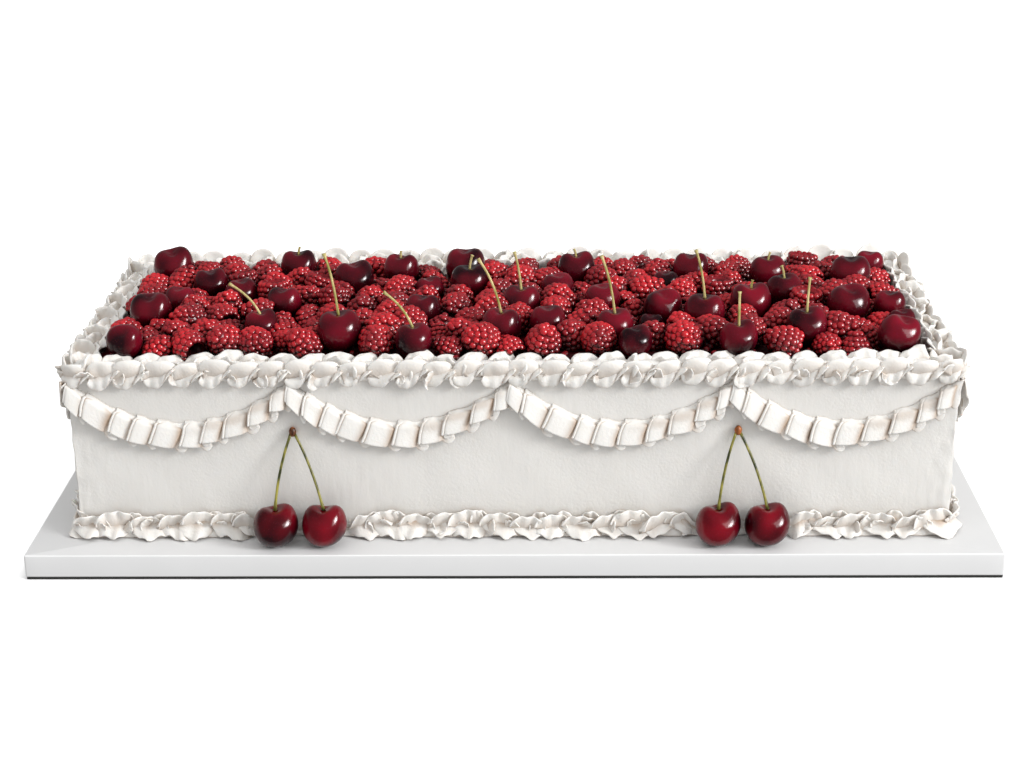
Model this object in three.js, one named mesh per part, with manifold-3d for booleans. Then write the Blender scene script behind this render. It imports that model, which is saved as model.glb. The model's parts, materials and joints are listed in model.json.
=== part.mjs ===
// Rectangular layer cake in white buttercream, heaped with cherries and raspberries, on its board.
// Millimetres, +Z up. The origin is the centre of the board's underside, +X runs along the cake's
// length, and the front, where two pairs of cherries stand, looks towards -Y.

import * as THREE from 'three';
import Module from 'manifold-3d';
import { ParametricGeometry } from 'three/addons/geometries/ParametricGeometry.js';
import { mergeVertices } from 'three/addons/utils/BufferGeometryUtils.js';

const wasm = await Module();
wasm.setup();

// Driving dimensions

const BOARD = { length: 560, depth: 256, height: 15, edge: 0.8 };
const CAKE = { length: 506, depth: 200, height: 100, corner: 5, edge: 2 };
const GAP = 0.3; // clearance between neighbouring pieces
const BED = { height: 1.7, margin: 0.6, corner: 2 }; // crushed berries that the heap lies on

// Piped borders: lobes are counted along each stretch, offsets are from the stretch's inner line
const TOP_BORDER = { width: 13, overhang: 6, hang: 2.3, height: 14, longLobes: 30, shortLobes: 11, cornerLobes: 2 };
const FOOT_BORDER = { inset: 5, width: 9, height: 17, longLobes: 34, shortLobes: 13, cornerLobes: 2 };
const CORNER_SQUARENESS = 10; // power of the rounded corner: 2 is a circle, large is square

// Swags of pleated ribbon: heights are of the ribbon's upper edge above the board's top
const SWAG = { peak: 95.5, drop: 25, endWidth: 12, midWidth: 14.5, rim: 1.3, flare: 5, cornerInset: 1 };
const LONG_SIDE = { swags: 4, pleats: 10 };
const SHORT_SIDE = { swags: 2, pleats: 8 };

// Fruit
const RASPBERRY = { radius: 10.4, height: 19, sides: 5, sunk: 1 };
const HEAP = { pitch: 20.4, rowPitch: 18, jitter: 4, relaxings: 200, wallGap: 1.6 };
const DIMPLE = 0.68; // height of the dimple's floor over the centre, as a share of the radius
const STEM = { radius: 1, bands: 2 };
const PAIR = { diameter: 26, y: -114, spacing: 28, knotHeight: 66, knotOut: 2.7, knotRadius: 2.1, stemRadius: 0.95, bow: 2.4, bands: 4 };
const PAIR_CENTRES = { left: -122, right: 132 }; // x of each pair's middle

// Cherries on the cake from the front row to the back: x and y of the centre, widest diameter, and
// for some the stem's run from the dimple to its tip, or the fruit's lean in degrees about X and Y
const CHERRIES = [
  { x: -223, y: -77, d: 21, lean: [35, 0] },
  { x: -56, y: -78, d: 21.5, stem: [-17, 8, 19] },
  { x: 71, y: -79, d: 19.5 },
  { x: 130, y: -78, d: 22, stem: [0, 1, 20] },
  { x: 222, y: -74, d: 24, lean: [10, 18] },
  { x: -100, y: -66, d: 26, stem: [-7, 1, 37] },
  { x: 60, y: -56, d: 22.5, stem: [-8, 0, 35] },
  { x: 171, y: -59, d: 24, stem: [1, 0, 21] },
  { x: -6, y: -57, d: 23.5, stem: [-13, 0, 33] },
  { x: 82, y: -44, d: 15 },
  { x: 21, y: -46, d: 21.5 },
  { x: 229, y: -43, d: 17 },
  { x: -148, y: -48, d: 20, stem: [-19, 9, 16] },
  { x: 114, y: -34, d: 24.5, stem: [-6, 0, 30] },
  { x: -217, y: -28, d: 25, lean: [14, 0] },
  { x: -54, y: -25, d: 22 },
  { x: 90, y: -21, d: 23, lean: [20, 6] },
  { x: 201, y: -20, d: 25.5, lean: [12, 4] },
  { x: 143, y: -15, d: 25 },
  { x: 227, y: -13, d: 19 },
  { x: 5, y: -14, d: 24, stem: [-4, 0, 24] },
  { x: -140, y: -8, d: 21.5 },
  { x: 54, y: -5, d: 22 },
  { x: -205, y: 1, d: 19.5 },
  { x: 166, y: 10, d: 23, stem: [-2, 0, 8] },
  { x: -169, y: 13, d: 20.5 },
  { x: 27, y: 20, d: 21 },
  { x: -53, y: 21, d: 18.5 },
  { x: -28, y: 29, d: 24.5, stem: [2, 0, 9] },
  { x: -191, y: 31, d: 21.5 },
  { x: -101, y: 35, d: 25 },
  { x: 95, y: 34, d: 17.5 },
  { x: 211, y: 40, d: 25.5 },
  { x: 160, y: 48, d: 23.5 },
  { x: 112, y: 56, d: 23 },
  { x: 39, y: 56, d: 24 },
  { x: -73, y: 57, d: 23 },
  { x: -32, y: 62, d: 25.5 },
  { x: -140, y: 67, d: 23 },
  { x: -221, y: 66, d: 25.5, lean: [16, 0] },
  { x: 228, y: 73, d: 18.5 },
];

// Levels and lines that follow from the sizes above

const BOARD_TOP = BOARD.height;
const CAKE_TOP = BOARD_TOP + CAKE.height;
const BED_BASE = CAKE_TOP + GAP;
const BED_TOP = BED_BASE + BED.height;
const HALF_LENGTH = CAKE.length / 2;
const HALF_DEPTH = CAKE.depth / 2;
const HEAP_HALF = { x: HALF_LENGTH - TOP_BORDER.width, y: HALF_DEPTH - TOP_BORDER.width };

const COLOURS = {
  board: { color: 0xe9e9e8, roughness: 0.7 },
  frosting: { color: 0xf2efeb, roughness: 0.62 },
  piping: { color: 0xf4f0ea, roughness: 0.55 },
  cherry: { color: 0x5c0f1e, roughness: 0.2 },
  raspberry: { color: 0xb4172a, roughness: 0.5 },
  stem: { color: 0x6b6a2c, roughness: 0.6 },
};

const cake = new THREE.Group();

// Adds one named piece to the cake
function addPiece(name, geometry, look) {
  const material = new THREE.MeshStandardMaterial({ metalness: 0, ...COLOURS[look] });
  const piece = new THREE.Mesh(geometry, material);
  piece.name = name;
  cake.add(piece);
}

// An even draw from 0 to 1 that is the same for the same seed
function draw(seed) {
  const spread = Math.sin(seed * 127.1 + 11.7) * 43758.5453;
  return spread - Math.floor(spread);
}

// Solids and geometries

// Turns a closed geometry into a solid for cutting and joining, with its faces pointing out
function solidOf(geometry) {
  const bare = geometry.clone();
  bare.deleteAttribute('normal');
  bare.deleteAttribute('uv');
  const merged = mergeVertices(bare, 1e-3);
  const corners = Array.from(merged.index.array);
  const kept = [];
  for (let i = 0; i < corners.length; i += 3) {
    const [a, b, c] = corners.slice(i, i + 3);
    if (a !== b && b !== c && c !== a) kept.push(a, b, c);
  }
  const vertProperties = new Float32Array(merged.attributes.position.array);
  if (signedVolume(vertProperties, kept) < 0) kept.reverse();
  return new wasm.Manifold(new wasm.Mesh({ numProp: 3, vertProperties, triVerts: new Uint32Array(kept) }));
}

// Six times the volume inside a triangle list, below zero where its faces point in
function signedVolume(points, corners) {
  const at = (i) => new THREE.Vector3().fromArray(points, 3 * i);
  let sum = 0;
  for (let i = 0; i < corners.length; i += 3) {
    sum += at(corners[i]).dot(at(corners[i + 1]).cross(at(corners[i + 2])));
  }
  return sum;
}

function geometryOf(solid) {
  const mesh = solid.getMesh();
  const geometry = new THREE.BufferGeometry();
  geometry.setAttribute('position', new THREE.BufferAttribute(mesh.vertProperties, 3));
  geometry.setIndex(new THREE.BufferAttribute(mesh.triVerts, 1));
  return geometry;
}

function joined(geometries) {
  return geometries.map(solidOf).reduce((whole, next) => whole.add(next));
}

// A rectangle with round corners, centred on the origin
function roundedRectangle(length, depth, radius, arcPoints) {
  const points = [];
  for (let corner = 0; corner < 4; corner += 1) {
    const sx = corner === 0 || corner === 3 ? 1 : -1;
    const sy = corner < 2 ? 1 : -1;
    for (let i = 0; i <= arcPoints; i += 1) {
      const angle = (Math.PI / 2) * (corner + i / arcPoints);
      const x = sx * (length / 2 - radius) + radius * Math.cos(angle);
      const y = sy * (depth / 2 - radius) + radius * Math.sin(angle);
      points.push(new THREE.Vector2(x, y));
    }
  }
  return new THREE.Shape(points);
}

// A block from zLow up, with its upper and lower edges eased by a small bevel
function easedBlock({ length, depth, height, corner, edge, arcPoints }, zLow) {
  const outline = roundedRectangle(length - 2 * edge, depth - 2 * edge, Math.max(corner - edge, 0.2), arcPoints);
  const geometry = new THREE.ExtrudeGeometry(outline, {
    depth: height - 2 * edge,
    bevelEnabled: true,
    bevelThickness: edge,
    bevelSize: edge,
    bevelSegments: 1,
  });
  return geometry.translate(0, 0, zLow + edge);
}

// A closed surface swept through rings of points: pointAt(step, corner) gives each one
function sweep(steps, corners, closed, pointAt) {
  const place = (u, v, target) => {
    const step = Math.round(u * steps);
    const corner = Math.round(v * corners) % corners;
    target.copy(pointAt(closed ? step % steps : step, corner));
  };
  return new ParametricGeometry(place, steps, corners);
}

// Piped borders

// Where lobe number k of a ring lies: a point on its inner line, and the way out from there
function ringPlace(ring, k) {
  const turns = [[0, -1], [1, 0], [0, 1], [-1, 0]];
  const total = 2 * (ring.longLobes + ring.shortLobes) + 4 * ring.cornerLobes;
  let rest = k % total;
  for (let side = 0; side < 4; side += 1) {
    const [outX, outY] = turns[side];
    const along = { x: -outY, y: outX };
    const lobes = side % 2 === 0 ? ring.longLobes : ring.shortLobes;
    const halfRun = side % 2 === 0 ? ring.half.x : ring.half.y;
    const halfAway = side % 2 === 0 ? ring.half.y : ring.half.x;
    const onCorner = rest >= lobes;
    const run = onCorner ? halfRun : halfRun * ((2 * rest) / lobes - 1);
    const x = along.x * run + outX * halfAway;
    const y = along.y * run + outY * halfAway;
    if (!onCorner) return { x, y, outX, outY };
    rest -= lobes;
    if (rest < ring.cornerLobes) {
      const angle = (Math.PI / 2) * (rest / ring.cornerLobes);
      const c = Math.cos(angle);
      const s = Math.sin(angle);
      const reach = (c ** CORNER_SQUARENESS + s ** CORNER_SQUARENESS) ** (-1 / CORNER_SQUARENESS);
      return { x, y, outX: (outX * c + along.x * s) * reach, outY: (outY * c + along.y * s) * reach };
    }
    rest -= ring.cornerLobes;
  }
  return ringPlace(ring, 0);
}

// Sweeps a section round a ring: sectionAt(step, place) lists [offset, height] corners
function pipedRing(ring, stepsPerLobe, corners, sectionAt) {
  const lobes = 2 * (ring.longLobes + ring.shortLobes) + 4 * ring.cornerLobes;
  return sweep(lobes * stepsPerLobe, corners, true, (step, corner) => {
    const place = ringPlace(ring, step / stepsPerLobe);
    const [offset, height] = sectionAt(step, place)[corner];
    return new THREE.Vector3(place.x + place.outX * offset, place.y + place.outY * offset, height);
  });
}

// The border round the top: a row of round lobes over a row of smaller folds, lobes every 16 mm
function topBorder() {
  const stepsPerLobe = 3;
  const { width, overhang, hang, height } = TOP_BORDER;
  const seat = CAKE_TOP + GAP;
  const face = width + GAP;
  const section = (step) => {
    const lobe = Math.floor(step / stepsPerLobe);
    const upper = step % stepsPerLobe === 0 ? 0 : 0.75 + 0.4 * draw(lobe);
    const lower = step % stepsPerLobe === 2 ? 0 : 0.7 + 0.5 * draw(lobe + 400);
    return [
      [face, seat],
      [face, CAKE_TOP - hang],
      [face + 1.6 + (overhang - 1.9) * lower, CAKE_TOP - hang + 1.8],
      [face + 1.4, CAKE_TOP + 5.6],
      [width + 0.2 + 3 * upper, CAKE_TOP + 10.6],
      [width - 8, CAKE_TOP + height - 3.6 + 3.4 * upper],
      [0, seat],
    ];
  };
  const ring = { ...TOP_BORDER, half: HEAP_HALF };
  addPiece('top_border', geometryOf(solidOf(pipedRing(ring, stepsPerLobe, 7, section))), 'piping');
}

// How flat the foot border is pressed where a cherry of the front pairs leans on it: 1 is not at all
function pressed(place) {
  if (place.outY > -0.99) return 1;
  const nearest = Math.min(...pairCherries().map((cherry) => Math.abs(place.x - cherry.x)));
  return THREE.MathUtils.mapLinear(THREE.MathUtils.smoothstep(nearest, 11, 19), 0, 1, 0.26, 1);
}

// The border round the foot: two rows of cupped folds, with points that reach out over the board
function footBorder() {
  const stepsPerLobe = 2;
  const { inset, width, height } = FOOT_BORDER;
  const seat = BOARD_TOP + GAP;
  const face = inset + GAP;
  const section = (step, place) => {
    const lobe = Math.floor(step / stepsPerLobe);
    const lower = step % stepsPerLobe === 0 ? 0.15 : 0.75 + 0.45 * draw(lobe + 900);
    const upper = step % stepsPerLobe === 0 ? 0.7 + 0.5 * draw(lobe + 1300) : 0.1;
    const full = [
      [face, seat],
      [face + width - 3.8 + 3.3 * lower, seat + 1.2],
      [face + width - 4.6, seat + height - 9.4],
      [face + 2.6 + 2.6 * upper, seat + height - 5 + 1.6 * upper],
      [face, seat + height - 3.6 + 3.6 * upper],
    ];
    const squash = pressed(place);
    return full.map(([offset, z]) => [face + (offset - face) * squash, seat + (z - seat) * squash]);
  };
  const ring = { ...FOOT_BORDER, half: { x: HALF_LENGTH - inset, y: HALF_DEPTH - inset } };
  addPiece('foot_border', geometryOf(solidOf(pipedRing(ring, stepsPerLobe, 5, section))), 'piping');
}

// Swags

// One side's row of swags: a pleated ribbon that hangs between peaks on a wall facing -Y at y = 0,
// smooth along its thin upper rim, and flared along its lower edge, where a pleat stands out and
// the fold after it lies in and reaches lower
function swagRow({ swags, pleats }, run, seed) {
  const { peak, drop, endWidth, midWidth, rim, flare } = SWAG;
  const span = run / swags;
  const folds = 2 * pleats * swags;
  const section = (step) => {
    const along = (swags * Math.min(Math.max(step - 1, 0), folds)) / folds;
    const swag = Math.min(Math.floor(along), swags - 1);
    const t = along - swag;
    const hang = 4 * t * (1 - t);
    const tilt = Math.atan((-4 * drop * (1 - 2 * t)) / span) * Math.sqrt(hang);
    const inFold = step % 2 === 1;
    const bulge = inFold ? 0 : 0.75 + 0.4 * draw(seed + step);
    const width = endWidth + (midWidth - endWidth) * Math.sqrt(hang) + (inFold ? 1.2 : 0);
    const corners = [
      [0, GAP],
      [0.22 * width, rim + 2 * bulge],
      [width, rim + (flare - rim) * bulge + 0.5],
      [width - 2, GAP],
    ];
    return corners.map(([down, out]) => new THREE.Vector3(
      (swag + t) * span - run / 2 + down * Math.sin(tilt),
      -out,
      BOARD_TOP + peak - drop * hang - down * Math.cos(tilt),
    ));
  };
  const last = folds + 2;
  return sweep(last, 4, false, (step, corner) => {
    const ring = section(Math.min(step, last - 1));
    if (step > 0 && step < last) return ring[corner];
    return ring.reduce((sum, point) => sum.add(point), new THREE.Vector3()).divideScalar(ring.length);
  });
}

// A row of swags on each of the four sides, turned to face outwards
function swagRows() {
  const sides = [
    { name: 'swags_front', kind: LONG_SIDE, run: CAKE.length, away: HALF_DEPTH },
    { name: 'swags_right', kind: SHORT_SIDE, run: CAKE.depth, away: HALF_LENGTH },
    { name: 'swags_back', kind: LONG_SIDE, run: CAKE.length, away: HALF_DEPTH },
    { name: 'swags_left', kind: SHORT_SIDE, run: CAKE.depth, away: HALF_LENGTH },
  ];
  sides.forEach(({ name, kind, run, away }, quarter) => {
    const row = swagRow(kind, run - 2 * SWAG.cornerInset, 2000 + 200 * quarter);
    row.translate(0, -away, 0).rotateZ((quarter * Math.PI) / 2);
    addPiece(name, geometryOf(solidOf(row)), 'piping');
  });
}

// Cherries

// A body made of level or tilted rings about a line, closed by a point at each end
function ringBody(rings, sides) {
  const last = rings.length - 1;
  return sweep(last, sides, false, (step, corner) => {
    const { centre, radius, across, up } = rings[step];
    const angle = (2 * Math.PI * corner) / sides;
    const reach = step === 0 || step === last ? 0 : radius;
    return centre.clone()
      .addScaledVector(across, reach * Math.cos(angle))
      .addScaledVector(up, reach * Math.sin(angle));
  });
}

const ACROSS = new THREE.Vector3(1, 0, 0);
const DEEP = new THREE.Vector3(0, 1, 0);

// A level ring about the Z axis or about a point
function levelRing(x, y, z, radius) {
  return { centre: new THREE.Vector3(x, y, z), radius, across: ACROSS, up: DEEP };
}

// A cherry's rings about its own centre, from its foot up to the rim of the dimple on top
function fruitRings(diameter, bands) {
  const radius = diameter / 2;
  const rings = [];
  for (let i = 0; i < bands; i += 1) {
    const angle = Math.PI * (i / bands - 0.5);
    rings.push(levelRing(0, 0, 0.96 * radius * Math.sin(angle), radius * Math.max(Math.cos(angle), 0) ** 0.9));
  }
  return rings;
}

// A cherry about its own centre, with a dimple on top and, where it has one, its stem
function cherryGeometry(diameter, sides, bands, stem) {
  const rings = fruitRings(diameter, bands);
  const dimple = DIMPLE * (diameter / 2);
  if (stem) {
    const foot = new THREE.Vector3(0, 0, dimple);
    const tip = foot.clone().add(new THREE.Vector3(...stem));
    const middle = foot.clone().lerp(tip, 0.5).add(new THREE.Vector3(-stem[0] / 4, 0, stem[2] / 12));
    const route = new THREE.QuadraticBezierCurve3(foot, middle, tip);
    for (let i = 0; i <= STEM.bands; i += 1) {
      const at = route.getPoint(i / STEM.bands);
      rings.push(levelRing(at.x, at.y, at.z, STEM.radius));
    }
    rings.push(levelRing(tip.x, tip.y, tip.z + 0.2, 0));
  } else {
    rings.push(levelRing(0, 0, dimple, 0));
  }
  return ringBody(rings, sides);
}

// Height of a cherry's centre where it lies on the bed
function cherryLevel(cherry) {
  return BED_TOP + GAP + (0.96 * cherry.d) / 2;
}

function cherryOnTop(cherry, number) {
  const lean = (cherry.lean ?? [0, 0]).map(THREE.MathUtils.degToRad);
  const fruit = cherryGeometry(cherry.d, 7, 5, cherry.stem).rotateX(lean[0]).rotateY(lean[1]);
  fruit.translate(cherry.x, cherry.y, cherryLevel(cherry));
  addPiece(`cherry_${String(number + 1).padStart(2, '0')}`, geometryOf(solidOf(fruit)), 'cherry');
}

// The four cherries that stand on the board in front
function pairCherries() {
  const cherries = [];
  for (const [side, middle] of Object.entries(PAIR_CENTRES)) {
    for (const half of [-1, 1]) {
      cherries.push({ side, half, x: middle + (half * PAIR.spacing) / 2, y: PAIR.y, d: PAIR.diameter });
    }
  }
  return cherries;
}

// The two stems of a pair as one bent rod: up from one dimple, through the knot, down to the other
function pairStems(side, level) {
  const [left, right] = pairCherries().filter((one) => one.side === side);
  const knot = new THREE.Vector3(PAIR_CENTRES[side] - 3, -HALF_DEPTH - PAIR.knotOut, BOARD_TOP + PAIR.knotHeight);
  const rings = [];
  const addRing = (centre, radius, turn) => {
    const across = new THREE.Vector3(Math.cos(turn), 0, -Math.sin(turn));
    rings.push({ centre, radius, across, up: DEEP });
  };
  const stemPoint = (cherry, t) => {
    const foot = new THREE.Vector3(cherry.x, cherry.y, level + DIMPLE * (cherry.d / 2) + 0.6);
    const joint = knot.clone().add(new THREE.Vector3(1.5 * cherry.half, 0, -1.5));
    const middle = foot.clone().lerp(joint, 0.5).add(new THREE.Vector3(PAIR.bow * cherry.half, -1, 3));
    return new THREE.QuadraticBezierCurve3(foot, middle, joint).getPoint(t);
  };
  addRing(stemPoint(left, 0), 0, 0);
  for (let i = 0; i <= PAIR.bands; i += 1) addRing(stemPoint(left, i / PAIR.bands), PAIR.stemRadius, 0.15);
  addRing(knot.clone().add(new THREE.Vector3(0, 0, 1.6)), PAIR.knotRadius, Math.PI / 2);
  for (let i = PAIR.bands; i >= 0; i -= 1) addRing(stemPoint(right, i / PAIR.bands), PAIR.stemRadius, Math.PI - 0.15);
  addRing(stemPoint(right, 0), 0, 0);
  return ringBody(rings, 6);
}

// One pair: its two fruits on the board, and its stems leaning on the cake's front at the knot
function standingPair(side) {
  const level = BOARD_TOP + GAP + (0.96 * PAIR.diameter) / 2;
  for (const cherry of pairCherries().filter((one) => one.side === side)) {
    const fruit = cherryGeometry(cherry.d, 10, 6).translate(cherry.x, cherry.y, level);
    addPiece(`${side}_pair_cherry_${cherry.half < 0 ? 'a' : 'b'}`, geometryOf(solidOf(fruit)), 'cherry');
  }
  addPiece(`${side}_pair_stems`, geometryOf(solidOf(pairStems(side, level))), 'stem');
}

// Raspberries

// Spreads raspberries over the bed between the cherries: a staggered grid, shaken, then eased apart
function raspberryPlaces() {
  const radius = RASPBERRY.radius;
  const fruits = CHERRIES.map(({ x, y, d }) => ({ x, y, r: d / 2, fixed: true }));
  const halfX = HEAP_HALF.x - radius - HEAP.wallGap;
  const halfY = HEAP_HALF.y - radius - HEAP.wallGap;
  const rows = Math.round((2 * halfY) / HEAP.rowPitch);
  const columns = Math.round((2 * halfX) / HEAP.pitch);
  for (let row = 0; row <= rows; row += 1) {
    for (let column = 0; column <= columns; column += 1) {
      const seed = row * 100 + column;
      const stagger = row % 2 === 0 ? 0 : HEAP.pitch / 2;
      const x = -halfX + column * HEAP.pitch + stagger + HEAP.jitter * (draw(seed) - 0.5);
      const y = -halfY + (row * 2 * halfY) / rows + HEAP.jitter * (draw(seed + 5000) - 0.5);
      const free = fruits.every((other) => !other.fixed || Math.hypot(x - other.x, y - other.y) > other.r + 0.35 * radius);
      if (free && Math.abs(x) <= halfX + 1) fruits.push({ x, y, r: radius, fixed: false });
    }
  }
  for (let pass = 0; pass < HEAP.relaxings; pass += 1) easeApart(fruits, halfX, halfY);
  return fruits.filter((fruit) => !fruit.fixed && clearOfCherries(fruit, fruits));
}

// Moves each raspberry off its neighbours by half of what it overlaps them
function easeApart(fruits, halfX, halfY) {
  for (const fruit of fruits.filter((one) => !one.fixed)) {
    for (const other of fruits) {
      const dx = fruit.x - other.x;
      const dy = fruit.y - other.y;
      const apart = Math.hypot(dx, dy);
      const overlap = fruit.r + other.r + GAP - apart;
      if (other !== fruit && overlap > 0) {
        const share = (other.fixed ? 1 : 0.5) * (overlap / Math.max(apart, 0.1));
        fruit.x += dx * share;
        fruit.y += dy * share;
      }
    }
    fruit.x = THREE.MathUtils.clamp(fruit.x, -halfX, halfX);
    fruit.y = THREE.MathUtils.clamp(fruit.y, -halfY, halfY);
  }
}

function clearOfCherries(fruit, fruits) {
  return fruits.every((other) => !other.fixed
    || Math.hypot(fruit.x - other.x, fruit.y - other.y) > other.r + fruit.r - 0.8);
}

// A raspberry as a blunt cone with its open end down, about the middle of its base
function raspberryGeometry(place, seed) {
  const { radius, height, sides, sunk } = RASPBERRY;
  const profile = [[0, -sunk], [1, -sunk], [0.74, 0.8 * height], [0, height]];
  const points = profile.map(([out, z]) => new THREE.Vector2(out * radius, z));
  const geometry = new THREE.LatheGeometry(points, sides).rotateX(Math.PI / 2);
  const size = 0.9 + 0.12 * draw(seed);
  geometry.scale(size, size, 0.86 + 0.24 * draw(seed + 77));
  geometry.rotateZ(2 * Math.PI * draw(seed + 154));
  return geometry.translate(place.x, place.y, BED_TOP);
}

// The heap: a bed of crushed berries with every raspberry that shows standing in it
function raspberryHeap() {
  const length = 2 * (HEAP_HALF.x - BED.margin);
  const depth = 2 * (HEAP_HALF.y - BED.margin);
  const outline = roundedRectangle(length, depth, BED.corner, 2);
  const bed = new THREE.ExtrudeGeometry(outline, { depth: BED.height, bevelEnabled: false });
  const berries = raspberryPlaces().map((place, i) => raspberryGeometry(place, 3000 + i));
  addPiece('raspberries', geometryOf(joined([bed.translate(0, 0, BED_BASE), ...berries])), 'raspberry');
}

// The whole cake

addPiece('board', easedBlock({ ...BOARD, corner: 1.2, arcPoints: 1 }, 0), 'board');
addPiece('frosted_cake', easedBlock({ ...CAKE, height: CAKE.height - GAP, arcPoints: 3 }, BOARD_TOP + GAP), 'frosting');
topBorder();
footBorder();
swagRows();
raspberryHeap();
CHERRIES.forEach(cherryOnTop);
standingPair('left');
standingPair('right');

export default cake;
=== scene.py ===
"""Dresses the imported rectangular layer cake: buttercream, piping, cherries and raspberries on their board.

Lengths are millimetres in the frame of the part: the origin is under the middle of the board, X runs
along the cake and the front looks towards -Y. Meshes are turned to metres when they are made.
"""

import json
import math

import bmesh
import bpy
import numpy as np
from bpy.props import FloatProperty, FloatVectorProperty, IntProperty, PointerProperty
from mathutils import Matrix, Vector, noise

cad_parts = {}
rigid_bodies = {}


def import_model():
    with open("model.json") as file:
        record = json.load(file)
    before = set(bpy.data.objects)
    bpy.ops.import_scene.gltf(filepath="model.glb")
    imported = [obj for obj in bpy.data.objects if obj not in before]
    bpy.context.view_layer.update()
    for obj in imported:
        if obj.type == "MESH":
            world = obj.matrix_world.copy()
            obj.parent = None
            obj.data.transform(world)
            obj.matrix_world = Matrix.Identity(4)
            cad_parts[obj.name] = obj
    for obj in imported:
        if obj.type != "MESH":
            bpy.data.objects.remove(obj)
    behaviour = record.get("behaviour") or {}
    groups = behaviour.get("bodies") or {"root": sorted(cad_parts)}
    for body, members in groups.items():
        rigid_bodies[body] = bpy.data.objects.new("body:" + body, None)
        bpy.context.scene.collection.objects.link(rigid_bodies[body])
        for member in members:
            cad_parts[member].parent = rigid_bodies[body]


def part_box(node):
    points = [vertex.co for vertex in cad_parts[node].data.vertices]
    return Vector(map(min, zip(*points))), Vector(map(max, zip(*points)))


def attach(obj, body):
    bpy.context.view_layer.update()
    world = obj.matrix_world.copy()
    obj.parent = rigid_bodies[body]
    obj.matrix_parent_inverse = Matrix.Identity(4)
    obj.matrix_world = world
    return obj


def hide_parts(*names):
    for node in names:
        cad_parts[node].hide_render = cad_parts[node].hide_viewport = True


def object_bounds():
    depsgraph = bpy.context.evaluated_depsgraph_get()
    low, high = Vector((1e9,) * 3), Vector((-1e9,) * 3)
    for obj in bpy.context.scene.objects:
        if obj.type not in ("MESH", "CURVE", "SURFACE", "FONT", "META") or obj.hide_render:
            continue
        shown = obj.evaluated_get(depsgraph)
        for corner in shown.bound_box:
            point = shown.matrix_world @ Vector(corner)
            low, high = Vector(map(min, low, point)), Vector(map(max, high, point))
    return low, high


bl_info = {
    "name": "Rectangular layer cake",
    "version": (1, 0, 0),
    "blender": (4, 5, 0),
    "location": "View3D > Sidebar > Cake",
    "description": "Makes a fruit-topped layer cake with piped buttercream on its board",
    "category": "Add Mesh",
}

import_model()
CAD_BOX = [list(corner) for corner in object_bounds()]

MM = 0.001
IMAGE_WIDTH = 1024
SENSOR = 36.0

# Sizes that the part's source names too

BOARD_TOP = 15.0
CAKE_TOP = 115.0
BED_TOP = 117.0
GAP = 0.3
HALF_LENGTH = 253.0
HALF_DEPTH = 100.0
BORDER_WIDTH = 13.0
HEAP_HALF = (HALF_LENGTH - BORDER_WIDTH, HALF_DEPTH - BORDER_WIDTH)
DIMPLE = 0.68
FRUIT_SQUAT = 0.96

# Cherries on the cake, front row to back and numbered from 1: x, y and widest diameter
CHERRIES = [
    (-223, -77, 21), (-56, -78, 21.5), (71, -79, 19.5), (130, -78, 22), (222, -74, 24), (-100, -66, 26),
    (60, -56, 22.5), (171, -59, 24), (-6, -57, 23.5), (82, -44, 15), (21, -46, 21.5), (229, -43, 17),
    (-148, -48, 20), (114, -34, 24.5), (-217, -28, 25), (-54, -25, 22), (90, -21, 23), (201, -20, 25.5),
    (143, -15, 25), (227, -13, 19), (5, -14, 24), (-140, -8, 21.5), (54, -5, 22), (-205, 1, 19.5),
    (166, 10, 23), (-169, 13, 20.5), (27, 20, 21), (-53, 21, 18.5), (-28, 29, 24.5), (-191, 31, 21.5),
    (-101, 35, 25), (95, 34, 17.5), (211, 40, 25.5), (160, 48, 23.5), (112, 56, 23), (39, 56, 24),
    (-73, 57, 23), (-32, 62, 25.5), (-140, 67, 23), (-221, 66, 25.5), (228, 73, 18.5),
]
# By the cherry's number: the stem's run from the dimple to its tip, and the fruit's lean about X and Y
STEMS = {2: (-17, 8, 19), 4: (0, 1, 20), 6: (-7, 1, 37), 7: (-8, 0, 35), 8: (1, 0, 21), 9: (-13, 0, 33),
         13: (-19, 9, 16), 14: (-6, 0, 30), 21: (-4, 0, 24), 25: (-2, 0, 8), 29: (2, 0, 9)}
LEANS = {1: (35, 0), 5: (10, 18), 15: (14, 0), 17: (20, 6), 18: (12, 4), 40: (16, 0)}
STUBBED = {19, 34, 36, 37, 39}  # cherries with a short stub of stem left
STEM_RADIUS = 0.88
PAIR = {"diameter": 26.0, "y": -114.0, "spacing": 28.0, "stem": 0.95, "bow": 2.4, "knot": 66.0,
        "knot_out": 2.7}
PAIR_CENTRES = {"left": -122.0, "right": 132.0}
RASPBERRY_RADIUS = 10.4
HEAP = {"pitch": 20.4, "row_pitch": 18.0, "jitter": 4.0, "passes": 200, "wall_gap": 1.6}
SWAG = {"peak": 96.0, "drop": 25.0, "end_width": 12.0, "mid_width": 14.5, "inset": 1.0}


# Colours and small helpers


def linear(hex_colour):
    """Linear RGBA of an sRGB hex colour."""
    parts = [int(hex_colour[i : i + 2], 16) / 255 for i in (1, 3, 5)]
    return (*[c / 12.92 if c <= 0.04045 else ((c + 0.055) / 1.055) ** 2.4 for c in parts], 1.0)


def draw(seed):
    """An even draw from 0 to 1, the same for the same seed as in the part's source."""
    spread = math.sin(seed * 127.1 + 11.7) * 43758.5453
    return spread - math.floor(spread)


def between(seed, low, high):
    return low + (high - low) * draw(seed)


def draws(seed, *ranges):
    """A draw from each range, by seeds that follow one another."""
    return [between(seed + i, low, high) for i, (low, high) in enumerate(ranges)]


def hump(value, width):
    """A bell that is 1 where the value is 0."""
    return math.exp(-((value / width) ** 2))


def smooth(low, high, value):
    t = np.clip((value - low) / (high - low), 0.0, 1.0)
    return t * t * (3 - 2 * t)


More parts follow.
